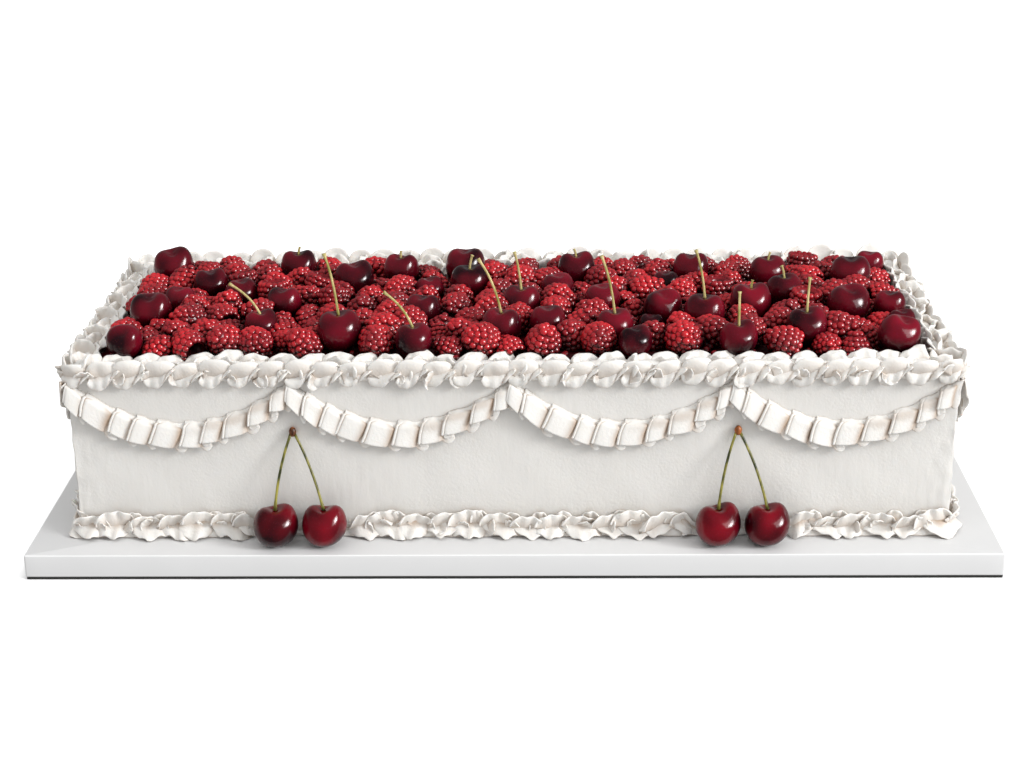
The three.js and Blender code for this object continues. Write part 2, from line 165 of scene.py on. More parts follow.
def add(tree, kind, inputs=None, **settings):
    """Adds one node with its settings; an input is given a value or the socket that feeds it."""
    node = tree.nodes.new(kind)
    for key, value in settings.items():
        setattr(node, key, value)
    for key, value in (inputs or {}).items():
        if isinstance(value, bpy.types.NodeSocket):
            tree.links.new(value, node.inputs[key])
        else:
            node.inputs[key].default_value = value
    return node


def new_object(name, points, faces, materials, face_materials=None, depth=None):
    """A smooth-shaded object from millimetre points, with every closed shell facing out.

    The depth, where given, says for each point how deep it lies in a fold, from 0 to 1: the mask by which
    the materials paint shade.
    """
    mesh = bpy.data.meshes.new(name)
    mesh.from_pydata((np.asarray(points, dtype=float) * MM).tolist(), [], faces)
    for material in materials:
        mesh.materials.append(material)
    if face_materials is not None:
        mesh.polygons.foreach_set("material_index", face_materials)
    work = bmesh.new()
    work.from_mesh(mesh)
    bmesh.ops.recalc_face_normals(work, faces=work.faces)
    work.to_mesh(mesh)
    work.free()
    if depth is not None:
        record(mesh, "depth", depth)
    mesh.shade_smooth()
    made = bpy.data.objects.new(name, mesh)
    bpy.context.scene.collection.objects.link(made)
    return made


def record(mesh, name, values, kind="FLOAT", field="value"):
    """Keeps a value for each point on the mesh itself."""
    held = mesh.attributes.new(name, kind, "POINT")
    held.data.foreach_set(field, np.array(values, dtype=float).ravel())


def points_of(mesh):
    """The mesh's points in millimetres."""
    flat = np.empty(len(mesh.vertices) * 3)
    mesh.vertices.foreach_get("co", flat)
    return flat.reshape(-1, 3) / MM


def move_points(mesh, points):
    mesh.vertices.foreach_set("co", (points * MM).ravel())
    mesh.update()


def dress(made, node):
    """Ties a finished piece to the root body and hides the node that it stands for."""
    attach(made, "root")
    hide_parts(node)


def joined(parts):
    """One list of points and faces from several."""
    points, faces = [], []
    for part_points, part_faces in parts:
        base = len(points)
        points.extend(np.asarray(part_points).tolist())
        faces.extend([tuple(i + base for i in face) for face in part_faces])
    return points, faces


def loft(loops, closed=False):
    """Joins loops of points, each closed on itself, into a skin; open ends come to a point."""
    loops = np.asarray(loops, dtype=float)
    count, size = loops.shape[:2]
    points = loops.reshape(-1, 3).tolist()
    faces = []
    for i in range(count if closed else count - 1):
        a, b = i * size, ((i + 1) % count) * size
        faces += [(a + j, a + (j + 1) % size, b + (j + 1) % size, b + j) for j in range(size)]
    if not closed:
        for i, turn in ((0, 1), (count - 1, -1)):
            points.append(loops[i].mean(axis=0).tolist())
            a, tip = i * size, len(points) - 1
            for j in range(size):
                faces.append((tip, a + j, a + (j + 1) % size)[::turn])
    return points, faces


def tube(route, radii, sides):
    """A round rod along a route of points."""
    route = np.asarray(route, dtype=float)
    ahead = np.gradient(route, axis=0)
    ahead /= np.linalg.norm(ahead, axis=1)[:, None]
    side = np.cross(ahead, (0.0, 1.0, 0.0))
    side /= np.linalg.norm(side, axis=1)[:, None]
    other = np.cross(side, ahead)
    turns = np.linspace(0, 2 * np.pi, sides, endpoint=False)
    loops = [
        at + radius * (np.cos(turns)[:, None] * s + np.sin(turns)[:, None] * o)
        for at, radius, s, o in zip(route, radii, side, other)
    ]
    return loft(loops)


def block_outline(half_x, half_y, radius, spacing, arc=6):
    """Points round a rectangle with round corners, and the way out at each."""
    points, ways = [], []
    for corner, (sx, sy) in enumerate(((1, -1), (1, 1), (-1, 1), (-1, -1))):
        start = corner * 90 - 90
        middle = (sx * (half_x - radius), sy * (half_y - radius))
        for i in range(arc + 1):
            turn = math.radians(start + 90 * i / arc)
            way = (math.cos(turn), math.sin(turn))
            ways.append(way)
            points.append((middle[0] + radius * way[0], middle[1] + radius * way[1]))
        run = 2 * (half_y - radius) if corner % 2 == 0 else 2 * (half_x - radius)
        steps = max(int(run / spacing), 1)
        along = (-ways[-1][1], ways[-1][0])
        last = points[-1]
        for i in range(1, steps):
            points.append((last[0] + along[0] * run * i / steps, last[1] + along[1] * run * i / steps))
            ways.append(ways[-1])
    return np.array(points), np.array(ways)


def swept(points, ways, levels, off_line):
    """Loops of points, one for each (height, how far out), that stray from the outline as off_line says."""
    loops = []
    for z, out in levels:
        steps = [out + off_line(x, y, z, way) for (x, y), way in zip(points, ways)]
        loops.append([(x + way[0] * step, y + way[1] * step, z)
                      for (x, y), way, step in zip(points, ways, steps)])
    return loops


# Materials


def new_material(name):
    """An empty material with its surface shader, ready for its nodes."""
    made = bpy.data.materials.new(name)
    made.use_nodes = True
    made.node_tree.nodes.clear()
    shader = add(made.node_tree, "ShaderNodeBsdfPrincipled")
    add(made.node_tree, "ShaderNodeOutputMaterial", {"Surface": shader.outputs["BSDF"]})
    return made, made.node_tree, shader


def set_shader(shader, **values):
    """Sets constants straight on the shader's own sockets."""
    for name, value in values.items():
        shader.inputs[name.replace("_", " ")].default_value = value


def place(tree, scale=(1, 1, 1)):
    """Object coordinates, stretched by a scale, for a pattern in real millimetres."""
    where = add(tree, "ShaderNodeTexCoord").outputs["Object"]
    return add(tree, "ShaderNodeMapping", {"Vector": where, "Scale": scale}).outputs[0]


def per_mm(size):
    """Texture scale for a pattern whose features are this many millimetres wide."""
    return 1000.0 / size


def clouds(tree, size, detail, scale=(1, 1, 1)):
    """A noise from 0 to 1 whose patches are this many millimetres wide."""
    inputs = {"Vector": place(tree, scale), "Scale": per_mm(size), "Detail": detail}
    return add(tree, "ShaderNodeTexNoise", inputs).outputs["Fac"]


def ramp(tree, value, low, high, to_low=0.0, to_high=1.0):
    """A value brought from one range to another and held inside it."""
    inputs = {"Value": value, "From Min": low, "From Max": high, "To Min": to_low, "To Max": to_high}
    return add(tree, "ShaderNodeMapRange", inputs).outputs[0]


def blend(tree, share, first, second, way="MIX"):
    """Two colours mixed by a share from 0 to 1."""
    inputs = {0: share, 6: first, 7: second}
    return add(tree, "ShaderNodeMix", inputs, data_type="RGBA", blend_type=way).outputs[2]


def openness(tree, reach):
    """How open a point is to the air, from 0 to 1, as far as a reach in metres."""
    return add(tree, "ShaderNodeAmbientOcclusion", {"Distance": reach}, samples=6).outputs["AO"]


def fold_depth(tree):
    """The mesh's own record of how deep a point lies, the mask by which shade is painted."""
    return add(tree, "ShaderNodeAttribute", attribute_name="depth").outputs["Fac"]


def cover(tree, shader, colour, height=None, strength=0.0, relief=0.0):
    """Gives the shader its colour and, where there is a height, a relief of this many metres."""
    tree.links.new(colour, shader.inputs["Base Color"])
    if height is not None:
        bump = add(tree, "ShaderNodeBump", {"Height": height, "Strength": strength, "Distance": relief})
        tree.links.new(bump.outputs[0], shader.inputs["Normal"])


# Buttercream is whipped fat and sugar: satin and a little see-through, so light creeps into it. Its hollows
# and folds are painted a warm beige, painted shade where the cream is shut in and where the mesh records a
# deep fold
def buttercream(name, streaks, lit):
    colours = bpy.context.scene.cake_colours
    made, tree, shader = new_material(name)
    set_shader(shader, Subsurface_Weight=0.12, Subsurface_Radius=(1.0, 0.8, 0.62), Subsurface_Scale=0.0012,
               Coat_Weight=0.06, Coat_Roughness=0.35, IOR=1.46, Specular_IOR_Level=0.42)
    # Painted shade: the cream is painted towards the hollow colour by the larger of how shut in it is and
    # how deep its fold is
    closed = ramp(tree, openness(tree, 0.0045), 0.1, 0.8, 0.5, 0.0)
    depth = add(tree, "ShaderNodeMath", {0: closed, 1: fold_depth(tree)}, operation="MAXIMUM")
    painted_fold_shade = blend(tree, depth.outputs[0], (*colours.frosting, 1), (*colours.hollow, 1))
    cloud = clouds(tree, 38, 3.0)
    # Painted shade: lit scales the whole cream, and the smoothed sides are painted darker than the piping
    cream = blend(tree, cloud, (0.97 * lit, 0.96 * lit, 0.95 * lit, 1), (lit, lit, lit, 1))
    tree.links.new(ramp(tree, cloud, 0.0, 1.0, 0.42, 0.6), shader.inputs["Roughness"])
    # Bubbles are about a millimetre; a smoothed face also keeps short upright streaks where it was scraped
    height = clouds(tree, 1.6, 2.0)
    if streaks:
        drag = clouds(tree, 3.4, 3.0, (1, 1, 0.2))
        share = ramp(tree, clouds(tree, 30, 1.0), 0.42, 0.66, 0.1, 0.75)
        height = add(tree, "ShaderNodeMix", {0: share, 2: height, 3: drag}).outputs[0]
    cover(tree, shader, blend(tree, 1.0, painted_fold_shade, cream, "MULTIPLY"), height, 0.5, 0.0005)
    return made


# A cake drum is thick card wrapped in embossed white paper: flat white with a faint tooth. Its top fold is
# painted paler, a painted highlight, and the foot of its edge dark grey, a painted contact shadow
def drum_paper(name, paper, tooth):
    made, tree, shader = new_material(name)
    set_shader(shader, Roughness=0.55, IOR=1.45, Specular_IOR_Level=0.3)
    mottle = blend(tree, clouds(tree, 22, 4.0), (0.95, 0.95, 0.95, 1), (1, 1, 1, 1))
    cover(tree, shader, blend(tree, 1.0, paper, mottle, "MULTIPLY"), clouds(tree, 0.9, 2.0), tooth, 0.0001)
    return made


# Ripe cherry skin is thin, tight and wet: near black-red with a sharp gloss, paler where it thins
def cherry_skin(name, dark, bright):
    made, tree, shader = new_material(name)
    set_shader(shader, Roughness=0.3, IOR=1.36, Specular_IOR_Level=0.08,
               Coat_Weight=0.75, Coat_Roughness=0.12, Coat_IOR=1.4,
               Subsurface_Weight=0.1, Subsurface_Radius=(1.0, 0.06, 0.05), Subsurface_Scale=0.0025)
    base = blend(tree, ramp(tree, clouds(tree, 19, 1.0), 0.3, 0.7), dark, bright)
    # Skin pores, 0.3 mm wide and 1.3 mm apart, a shade lighter than the skin
    pores = add(tree, "ShaderNodeTexVoronoi", {"Vector": place(tree), "Scale": per_mm(1.3)})
    dots = ramp(tree, pores.outputs["Distance"], 0.12, 0.24, 0.22, 0.0)
    dotted = blend(tree, dots, base, linear("#85303A"))
    # Painted shade: low down between its neighbours, where little air is open, the skin is painted nearly
    # black
    shade = ramp(tree, openness(tree, 0.02), 0.2, 0.85, 0.25, 1.0)
    cover(tree, shader, blend(tree, 1.0, dotted, shade, "MULTIPLY"), clouds(tree, 4, 1.0), 0.1, 0.0004)
    return made


# A raspberry is a crowd of juice-filled beads under a fine bloom; each bead is painted dark crimson towards
# the gaps between them, painted shade
def raspberry_flesh():
    made, tree, shader = new_material("Raspberry beads")
    set_shader(shader, Roughness=0.34, IOR=1.45, Subsurface_Weight=0.2, Subsurface_Radius=(1.0, 0.12, 0.12),
               Subsurface_Scale=0.0014, Coat_Roughness=0.24)
    # Only the crowns are wet enough to shine
    sunk = fold_depth(tree)
    tree.links.new(ramp(tree, sunk, 0.35, 0.8, 0.6, 0.05), shader.inputs["Coat Weight"])
    crown = (*bpy.context.scene.cake_colours.raspberry, 1)
    bead_colour = blend(tree, ramp(tree, clouds(tree, 26, 1.0), 0.36, 0.63), linear("#8C0A1A"), crown)
    # Painted shade: the beads turn dark crimson towards the gaps, as deep as the mesh records
    beads = blend(tree, ramp(tree, sunk, 0.3, 1.0), bead_colour, linear("#720716"))
    # Painted shade: between two berries, where little air is open, the red is painted nearly black
    shade = ramp(tree, openness(tree, 0.02), 0.16, 0.74, 0.03, 1.0)
    cover(tree, shader, blend(tree, 1.0, beads, shade, "MULTIPLY"))
    return made


# Crushed raspberries are juice and pulp: dark, wet red with no bloom, painted darker still, near black, as
# painted shade deep between the berries
def crushed_flesh():
    made, tree, shader = new_material("Crushed raspberries")
    set_shader(shader, Roughness=0.4, IOR=1.4, Specular_IOR_Level=0.3)
    pulp = clouds(tree, 5, 2.0)
    cover(tree, shader, blend(tree, pulp, linear("#1C0104"), linear("#520610")), pulp, 0.8, 0.002)
    return made


# A cherry stalk is a smooth woody skin, streaked along its grain from olive to straw
def stalk(name, low, high):
    made, tree, shader = new_material(name)
    set_shader(shader, Roughness=0.45, IOR=1.45, Subsurface_Weight=0.1, Subsurface_Radius=(0.6, 1.0, 0.2),
               Subsurface_Scale=0.001)
    grain = clouds(tree, 3.5, 3.0, (1, 1, 0.25))
    cover(tree, shader, blend(tree, ramp(tree, grain, 0.35, 0.65), low, high), grain, 0.4, 0.0003)
    return made


def piped_cream():
    """The piping's buttercream, made once and shared by every piped piece."""
    name = "Buttercream, piped"
    return bpy.data.materials.get(name) or buttercream(name, False, 0.97)


# Geometry nodes


def scatter_tree(name):
    """A tree that sets one of several shapes on each point of a mesh, turned by the point's own turn."""
    tree = bpy.data.node_groups.new(name, "GeometryNodeTree")
    tree.interface.new_socket("Geometry", in_out="OUTPUT", socket_type="NodeSocketGeometry")
    inputs = (("Geometry", "Geometry", None), ("Shapes", "Collection", None), ("Last shape", "Int", 0),
              ("Size", "Float", 1.0), ("Size spread", "Float", 0.08), ("Turn spread", "Float", 0.1),
              ("Seed", "Int", 1), ("Material", "Material", None))
    for label, kind, value in inputs:
        socket = tree.interface.new_socket(label, in_out="INPUT", socket_type="NodeSocket" + kind)
        if value is not None:
            socket.default_value = value
    given = add(tree, "NodeGroupInput").outputs

    def drawn(kind, first, low, high):
        """A draw for each point; the node has two sockets and one output for each kind of value."""
        ends = {first: low, first + 1: high, "Seed": given["Seed"]}
        return add(tree, "FunctionNodeRandomValue", ends, data_type=kind).outputs[first // 2]

    def held(name, kind):
        return add(tree, "GeometryNodeInputNamedAttribute", {"Name": name}, data_type=kind).outputs[0]

    def worked(kind, way, first, second):
        """What a node of this kind makes of two values, by its way of working."""
        return add(tree, kind, {0: first, 1: second}, operation=way).outputs[0]

    shapes = add(tree, "GeometryNodeCollectionInfo",
                 {"Collection": given["Shapes"], "Separate Children": True, "Reset Children": True})
    pick = drawn("INT", 4, 0, given["Last shape"])
    leans = [worked("ShaderNodeVectorMath", "MULTIPLY", (way,) * 3, given["Turn spread"]) for way in (-1, 1)]
    facing = add(tree, "FunctionNodeEulerToRotation", {"Euler": held("turn", "FLOAT_VECTOR")})
    own = add(tree, "FunctionNodeEulerToRotation", {"Euler": drawn("FLOAT_VECTOR", 0, *leans)})
    turned = add(tree, "FunctionNodeRotateRotation",
                 {"Rotation": facing.outputs[0], "Rotate By": own.outputs[0]}, rotation_space="LOCAL")
    sizes = [worked("ShaderNodeMath", way, given["Size"], given["Size spread"])
             for way in ("SUBTRACT", "ADD")]
    scaled = worked("ShaderNodeMath", "MULTIPLY", drawn("FLOAT", 2, *sizes), held("size", "FLOAT"))
    set_out = add(tree, "GeometryNodeInstanceOnPoints",
                  {"Points": given["Geometry"], "Instance": shapes.outputs[0], "Pick Instance": True,
                   "Instance Index": pick, "Rotation": turned.outputs[0], "Scale": scaled})
    real = add(tree, "GeometryNodeRealizeInstances", {"Geometry": set_out.outputs[0]})
    painted = add(tree, "GeometryNodeSetMaterial",
                  {"Geometry": real.outputs[0], "Material": given["Material"]})
    add(tree, "NodeGroupOutput", {0: painted.outputs[0]})
    return tree


def scatter(name, places, shapes, material, seed, size_spread, turn_spread):
    """Sets shapes on places, each (point, turn, size), by the scatter tree; gives a plain mesh object."""
    tree = bpy.data.node_groups.get("Set shapes on points") or scatter_tree("Set shapes on points")
    box = bpy.data.collections.new(name + " shapes")
    for i, (points, faces, depth) in enumerate(shapes):
        shape = new_object(f"{name}_shape_{i:02d}", points, faces, [material], depth=depth)
        bpy.context.scene.collection.objects.unlink(shape)
        box.objects.link(shape)
    mesh = bpy.data.meshes.new(name)
    mesh.from_pydata([tuple(np.array(point) * MM) for point, _, _ in places], [], [])
    record(mesh, "turn", [turn for _, turn, _ in places], "FLOAT_VECTOR", "vector")
    record(mesh, "size", [size for _, _, size in places])
    made = bpy.data.objects.new(name, mesh)
    bpy.context.scene.collection.objects.link(made)
    holder = made.modifiers.new("Set out", "NODES")
    holder.node_group = tree
    sockets = {item.name: item.identifier for item in tree.interface.items_tree if item.in_out == "INPUT"}
    values = {"Shapes": box, "Last shape": len(shapes) - 1, "Size": 1.0, "Size spread": size_spread,
              "Turn spread": turn_spread, "Seed": seed, "Material": material}
    for label, value in values.items():
        holder[sockets[label]] = value
    evaluated = made.evaluated_get(bpy.context.evaluated_depsgraph_get())
    plain = bpy.data.meshes.new_from_object(evaluated)
    made.modifiers.remove(holder)
    made.data = plain
    plain.name = name
    if not plain.polygons:
        raise RuntimeError(f"{name}: nothing was set out")
    if not plain.materials:
        plain.materials.append(material)
    plain.shade_smooth()
    for shape in list(box.objects):
        bpy.data.objects.remove(shape)
    bpy.data.collections.remove(box)
    return made


# Piped petals


def petal(front, thickness, taper, shade, across=20, tall=8):
    """A closed thin petal and each point's depth.

    For u from -1 to 1 and v from root to rim, front(u, v) gives (along, out, up) and shade(u, v) the depth
    of painted shade.
    """
    # The ends stop just short of u = 1, so that each closes in a small loop
    end, lip_share, front_dark, back_dark = 0.992, 0.45, 0.8, 0.6
    u = end * np.sin(np.linspace(-math.pi / 2, math.pi / 2, across))
    v = np.linspace(0.0, 1.0, tall)
    grid = np.array([[front(a, b) for b in v] for a in u])
    dv = np.gradient(grid, axis=1)
    normal = np.cross(np.gradient(grid, axis=0), dv)
    normal /= np.maximum(np.linalg.norm(normal, axis=2, keepdims=True), 1e-9)
    wall = np.tile(thickness - taper * v, (across, 1))[:, :, None]
    face, back = grid + normal * wall / 2, grid - normal * wall / 2
    rise = dv[:, -1] / np.maximum(np.linalg.norm(dv[:, -1], axis=1, keepdims=True), 1e-9)
    lip = (grid[:, -1] + rise * wall[:, -1] * lip_share)[:, None]
    loops = np.concatenate([face, lip, back[:, ::-1]], axis=1)
    loops[:, :, 1] *= -1
    dark = front_dark * np.array([[float(shade(a, b)) for b in v] for a in u])
    behind = np.tile(back_dark * (1 - v[::-1]), (across, 1))
    depth = np.concatenate([dark, np.zeros((across, 1)), behind], axis=1).ravel()
    return (*loft(loops), np.clip(np.append(depth, (0.4, 0.4)), 0, 1))


def arch(u, power, fall):
    """A rounded arch over u from -1 to 1; half a circle has a power of 2 and a fall of a half."""
    return max(1 - abs(u) ** power, 0.0) ** fall


def wave(u, turns, seed):
    return math.sin(turns * math.pi * u + seed)


def root_shade(v, most, fall):
    """Depth at a petal's root, gone towards its rim."""
    return max(most - fall * v, 0.0)


def crease(u, middle, sharp=0.1):
    """Distance from a fold line, rounded right at the fold."""
    return math.hypot(u - middle, sharp) - sharp


def upper_petal(seed):
    """A fan that stands on the cake's top edge, set askew so that its left edge laps over its neighbour."""
    slope, lean, bulge, dent, peak, skew, high = draws(
        seed, (0.5, 1.8), (0.2, 1.8), (2.0, 3.4), (0.2, 1.6), (0.0, 1.0), (-0.25, 0.25), (7.4, 8.7))

    def front(u, v):
        tall = high * arch(u - 0.12 * skew, 2.8, 0.42) + 1.6 * peak**4 * hump(u - skew, 0.16)
        out = 0.6 - slope * u * (0.25 + 0.75 * v) + lean * v * v + bulge * (1 - u * u) * math.sin(2.4 * v)
        out -= dent * math.sin(math.pi * v) * hump(u + 0.35, 0.3)
        return (9.2 * u + 1.4 * v * skew, out, -1.5 + (tall + 1.5) * v)

    def shade(u, v):
        return 0.9 * root_shade(v, 1, 2.2) + 0.7 * smooth(0.5, 0.98, u) * (1 - 0.4 * v)

    return petal(front, 4.0, 2.8, shade)


def inner_petal(seed):
    """A lower fan on the fruit's side of the border, curled over towards the heap."""
    curl, skew, slope, high = draws(seed, (1.0, 4.2), (-0.3, 0.3), (2.2, 4.4), (6.4, 8.4))

    def front(u, v):
        tall = high * arch(u, 2.4, 0.45)
        out = 0.4 - slope * u * (0.4 + 0.6 * v) + curl * v * v + 1.0 * wave(u, 2.2, seed) * v
        return (8.8 * u + 1.6 * v * skew, out, -2.5 + (tall + 2.5) * v)

    return petal(front, 3.4, 2.2, lambda u, v: root_shade(v, 0.9, 1.5))


def lower_petal(seed):
    """A leaf that hangs below the fans: its right end stands off and leaves a hollow under its lip."""
    lift, slant, trim, fold, hollow_at, cut_in = draws(
        seed, (2.6, 4.8), (1.4, 3.6), (0.45, 0.75), (0.1, 0.9), (0.42, 0.66), (1.0, 2.2))

    def hollow(u, v):
        """How far into the slanting hollow beside the leaf's right lip a point is."""
        return hump(u - hollow_at + 0.5 * (v - 0.5), 0.13) * float(smooth(0.1, 0.5, v))

    def front(u, v):
        reach = 8.8 * arch(u, 2.8, 0.42) * (1 - trim * float(smooth(-0.2, 0.95, u)))
        out = 0.5 + 2.4 * math.sin(0.7 * math.pi * v) + lift * v * float(smooth(-0.7, 0.8, u))
        out += fold * wave(u, 3, seed) * v - cut_in * hollow(u, v)
        return (9.4 * u - 1.2 * v, out, 5.0 + 0.5 * slant * u - reach * v + 0.4 * slant * u * v)

    def shade(u, v):
        lip = 0.4 * smooth(0.8, 1.0, v) * smooth(0.2, -0.6, u)
        return 0.9 * hollow(u, v) + 0.9 * root_shade(v, 1, 2.6) + lip

    return petal(front, 2.2, 1.4, shade, across=28)


def cup_petal(seed):
    """An upright hood of the foot border, creased down its middle; its left lip laps over its neighbour."""
    wing, reach, middle, sway = draws(seed, (-3.0, 6.6), (1.0, 3.8), (-0.3, 0.45), (-2.0, 3.2))
    fold, high, lap, bow = draws(seed + 4, (0.3, 1.3), (8.2, 11.0), (0.8, 2.6), (0.0, 2.0))

    def front(u, v):
        tall = high * arch(u, 3.4, 0.4)
        out = 1.2 + reach * v * v + bow * (1 - u * u) * math.sin(math.pi * v) + abs(min(wing, 0.0))
        out += wing * crease(u, middle) * (0.2 + 0.8 * v) - 1.0 * abs(u) ** 4 - lap * u
        out += fold * wave(u, 3.0, seed) * v
        return (10.4 * u + sway * v, max(out, 0.4), 5.6 + tall * v - 0.6 * sway * u * v)

    def shade(u, v):
        valley = hump(crease(u, middle), 0.3) if wing > 1 else 0.0
        return 0.75 * valley * (1 - 0.75 * v) + 0.8 * root_shade(v, 1, 2.4) + 0.7 * smooth(0.45, 0.95, u)

    return petal(front, 2.4, 1.6, shade)


def foot_petal(seed):
    """A pointed scoop that reaches out over the board, folded along its middle."""
    wing, tip, middle, sway, roll, long, lap = draws(
        seed, (1.0, 6.4), (0.6, 2.4), (-0.3, 0.5), (-2.4, 3.0), (0.3, 1.2), (6.4, 8.0), (0.4, 1.8))

    def front(u, v):
        point = max(1 - abs(u - middle) / 1.25, 0.0)
        reach = long * (0.5 + 0.5 * point) * arch(u, 6.0, 0.4) + tip * hump(u - middle, 0.18)
        up = 9.4 - 8.8 * v**0.8 + wing * crease(u, middle) * v + roll * wave(u, 2.6, seed) * v
        out = 0.9 + reach * v - lap * u * (1 - 0.5 * v)
        return (10.2 * u + sway * v, out, max(up - 2.0 * abs(u) ** 3 * v, 0.45))

    def shade(u, v):
        valley = hump(crease(u, middle), 0.22)
        return 0.5 * valley * (1 - v) + 0.9 * root_shade(v, 1, 2.4) + 0.6 * smooth(0.5, 0.95, u)

    return petal(front, 2.2, 1.5, shade)


def back_petal(seed):
    """A small fan that fills the gap between two hoods, close to the cake."""
    high, sway, ripple, slope = draws(seed, (6.4, 9.0), (-2.4, 2.4), (0.2, 0.7), (-0.8, 0.8))

    def front(u, v):
        out = 0.8 + 1.0 * v * v + slope * u * v + ripple * wave(u, 2.4, seed) * v
        return (5.4 * u + sway * v, max(out, 0.5), 8.0 + high * arch(u, 2.4, 0.45) * v)

    return petal(front, 1.8, 1.0, lambda u, v: root_shade(v, 0.9, 1.3))


def flake(seed):
    """A thin torn scrap of buttercream, curled on itself, that breaks up the rows of petals."""
    wide, long, curl, bend = draws(seed, (3.0, 5.4), (4.0, 6.6), (-2.2, 2.2), (0.4, 2.4))

    def front(u, v):
        out = 0.4 + bend * v * v + curl * u * v + 0.5 * wave(u, 3, seed) * v
        return (wide * u + curl * v, out, long * arch(u, 2.4, 0.5) * v)

    return petal(front, 1.5, 0.9, lambda u, v: root_shade(v, 0.95, 1.5), across=14, tall=6)


# Rows of petals round the cake


def ring_out(out, radius):
    """The rectangle this far outside the cake's own, with round corners: half lengths and radius."""
    return HALF_LENGTH + out, HALF_DEPTH + out, radius


def ring_length(half_x, half_y, radius):
    return 4 * (half_x + half_y - 2 * radius) + 2 * math.pi * radius


def wrapped(made, half_x, half_y, radius):
    """Bends a straight row, laid along X with its front to -Y, round a rectangle with round corners."""
    points = points_of(made.data)
    arc = math.pi * radius / 2
    run, out = points[:, 0] % ring_length(half_x, half_y, radius), -points[:, 1]
    start = 0.0
    for side in range(4):
        straight, away = 2 * ((half_x, half_y)[side % 2] - radius), (half_y, half_x)[side % 2]
        past = np.clip(run - start - straight, 0.0, arc) / radius
        here = (run >= start) & (run < start + straight + arc)
        along = np.minimum(run - start, straight) - straight / 2 + (radius + out) * np.sin(past)
        far = away - radius + (radius + out) * np.cos(past)
        cos, sin = math.cos(side * math.pi / 2), math.sin(side * math.pi / 2)
        points[here, 0] = (along * cos + far * sin)[here]
        points[here, 1] = (along * sin - far * cos)[here]
        start += straight + arc
    move_points(made.data, points)
    return made


# Ways that the torn scraps lie, all close to the plane of the side: up, across and down
FLAKE_TURNS = ((0.3, 0.5, 0.2), (0.1, 2.3, -0.3), (0.4, -0.7, 0), (-0.2, -2.5, 0.4), (0.2, 1.5, 0.2))


def settle(made, ruffle):
    """Draws the top border in on its short sides, where its inner rows ruffle up, and lifts its back."""
    points = points_of(made.data)
    above = np.maximum(points[:, 2] - CAKE_TOP, 0.0)
    back = smooth(62.0, HALF_DEPTH - 2, points[:, 1])
    side = smooth(HALF_LENGTH - 14, HALF_LENGTH + 2, np.abs(points[:, 0]))
    side *= smooth(-HALF_DEPTH + 4, -HALF_DEPTH + 26, points[:, 1])
    points[:, 2] += above * (0.42 * back - 0.16 * side * (1 - back))
    points[:, 0] -= 2.4 * side * np.sign(points[:, 0])
    points[:, 2] += ruffle * smooth(HALF_LENGTH - 26, HALF_LENGTH - 17, np.abs(points[:, 0])) * (1 - back)
    move_points(made.data, points)


def press(made):
    """Flattens the foot border where the front cherries lean on the cake, and keeps it off the board."""
    points = points_of(made.data)
    near = np.full(len(points), 1e3)
    for middle in PAIR_CENTRES.values():
        for half in (-0.5, 0.5):
            near = np.minimum(near, np.abs(points[:, 0] - middle - half * PAIR["spacing"]))
    flattest = 0.24
    eased = flattest + (1 - flattest) * smooth(11.0, 19.0, near)
    keep = np.where(points[:, 1] < -HALF_DEPTH, eased, 1.0)
    face = -HALF_DEPTH - GAP
    points[:, 1] = np.where(points[:, 1] < face, face + (points[:, 1] - face) * keep, points[:, 1])
    seat = BOARD_TOP + GAP
    points[:, 2] = np.maximum(seat + (points[:, 2] - seat) * np.where(keep < 1, 0.3 + 0.7 * keep, 1.0), seat)
    move_points(made.data, points)


def piped_row(name, ring, level, count, shape, seed, spreads, pace, shift=0.0, turns=((0, 0, 0),)):
    """A row of petals of eight shapes round a rectangle, nudged off an even pitch as the pace seed says.

    The spreads are those of the petals' size and turn.
    """
    length = ring_length(*ring)
    arc = math.pi * ring[2] / 2
    corners = np.cumsum([2 * (ring[side % 2] - ring[2]) + arc for side in range(4)]) - arc / 2
    kinds, corner_size = 8, 0.7
    places = []
    for i in range(count):
        run = (i + shift) * length / count + between(pace + i, -1.3, 1.3)
        lift = between(seed + 300 + i, -0.5, 0.6)
        # The petals are smaller round the corners, where the bend spreads them
        off = min(abs(math.remainder(run - corner, length)) for corner in corners)
        size = corner_size + (1 - corner_size) * float(smooth(2.0, 9.0, off))
        places.append(((run, 0, level + lift), turns[i % len(turns)], size))
    shapes = [shape(seed + 10 * i) for i in range(kinds)]
    return wrapped(scatter(name, places, shapes, piped_cream(), seed, *spreads), *ring)


def border_core(section, base, pitch):
    """The bead of buttercream under a border's petals: a lobed section of (offset, height) swept round."""
    section = [(offset, base + height) for offset, height in section]
    points, ways = block_outline(HALF_LENGTH, HALF_DEPTH, 4.0, 2.6)
    steps = np.linalg.norm(np.diff(points, axis=0, prepend=points[:1]), axis=1)
    loops = []
    for point, way, run in zip(points, ways, np.cumsum(steps)):
        loop = []
        for offset, height in section:
            lobe = abs(math.sin(math.pi * (run / pitch + 0.03 * height))) ** 0.7 - 0.6
            swell = lobe * 1.4 * min(abs(offset) / 3, 1) * (1 if offset > 0 else 0.3)
            rise = 0.8 * lobe * (height > section[0][1] + 3)
            loop.append((*(point + way * (offset + swell)), height + rise))
        loops.append(loop)
    return loft(loops, closed=True)
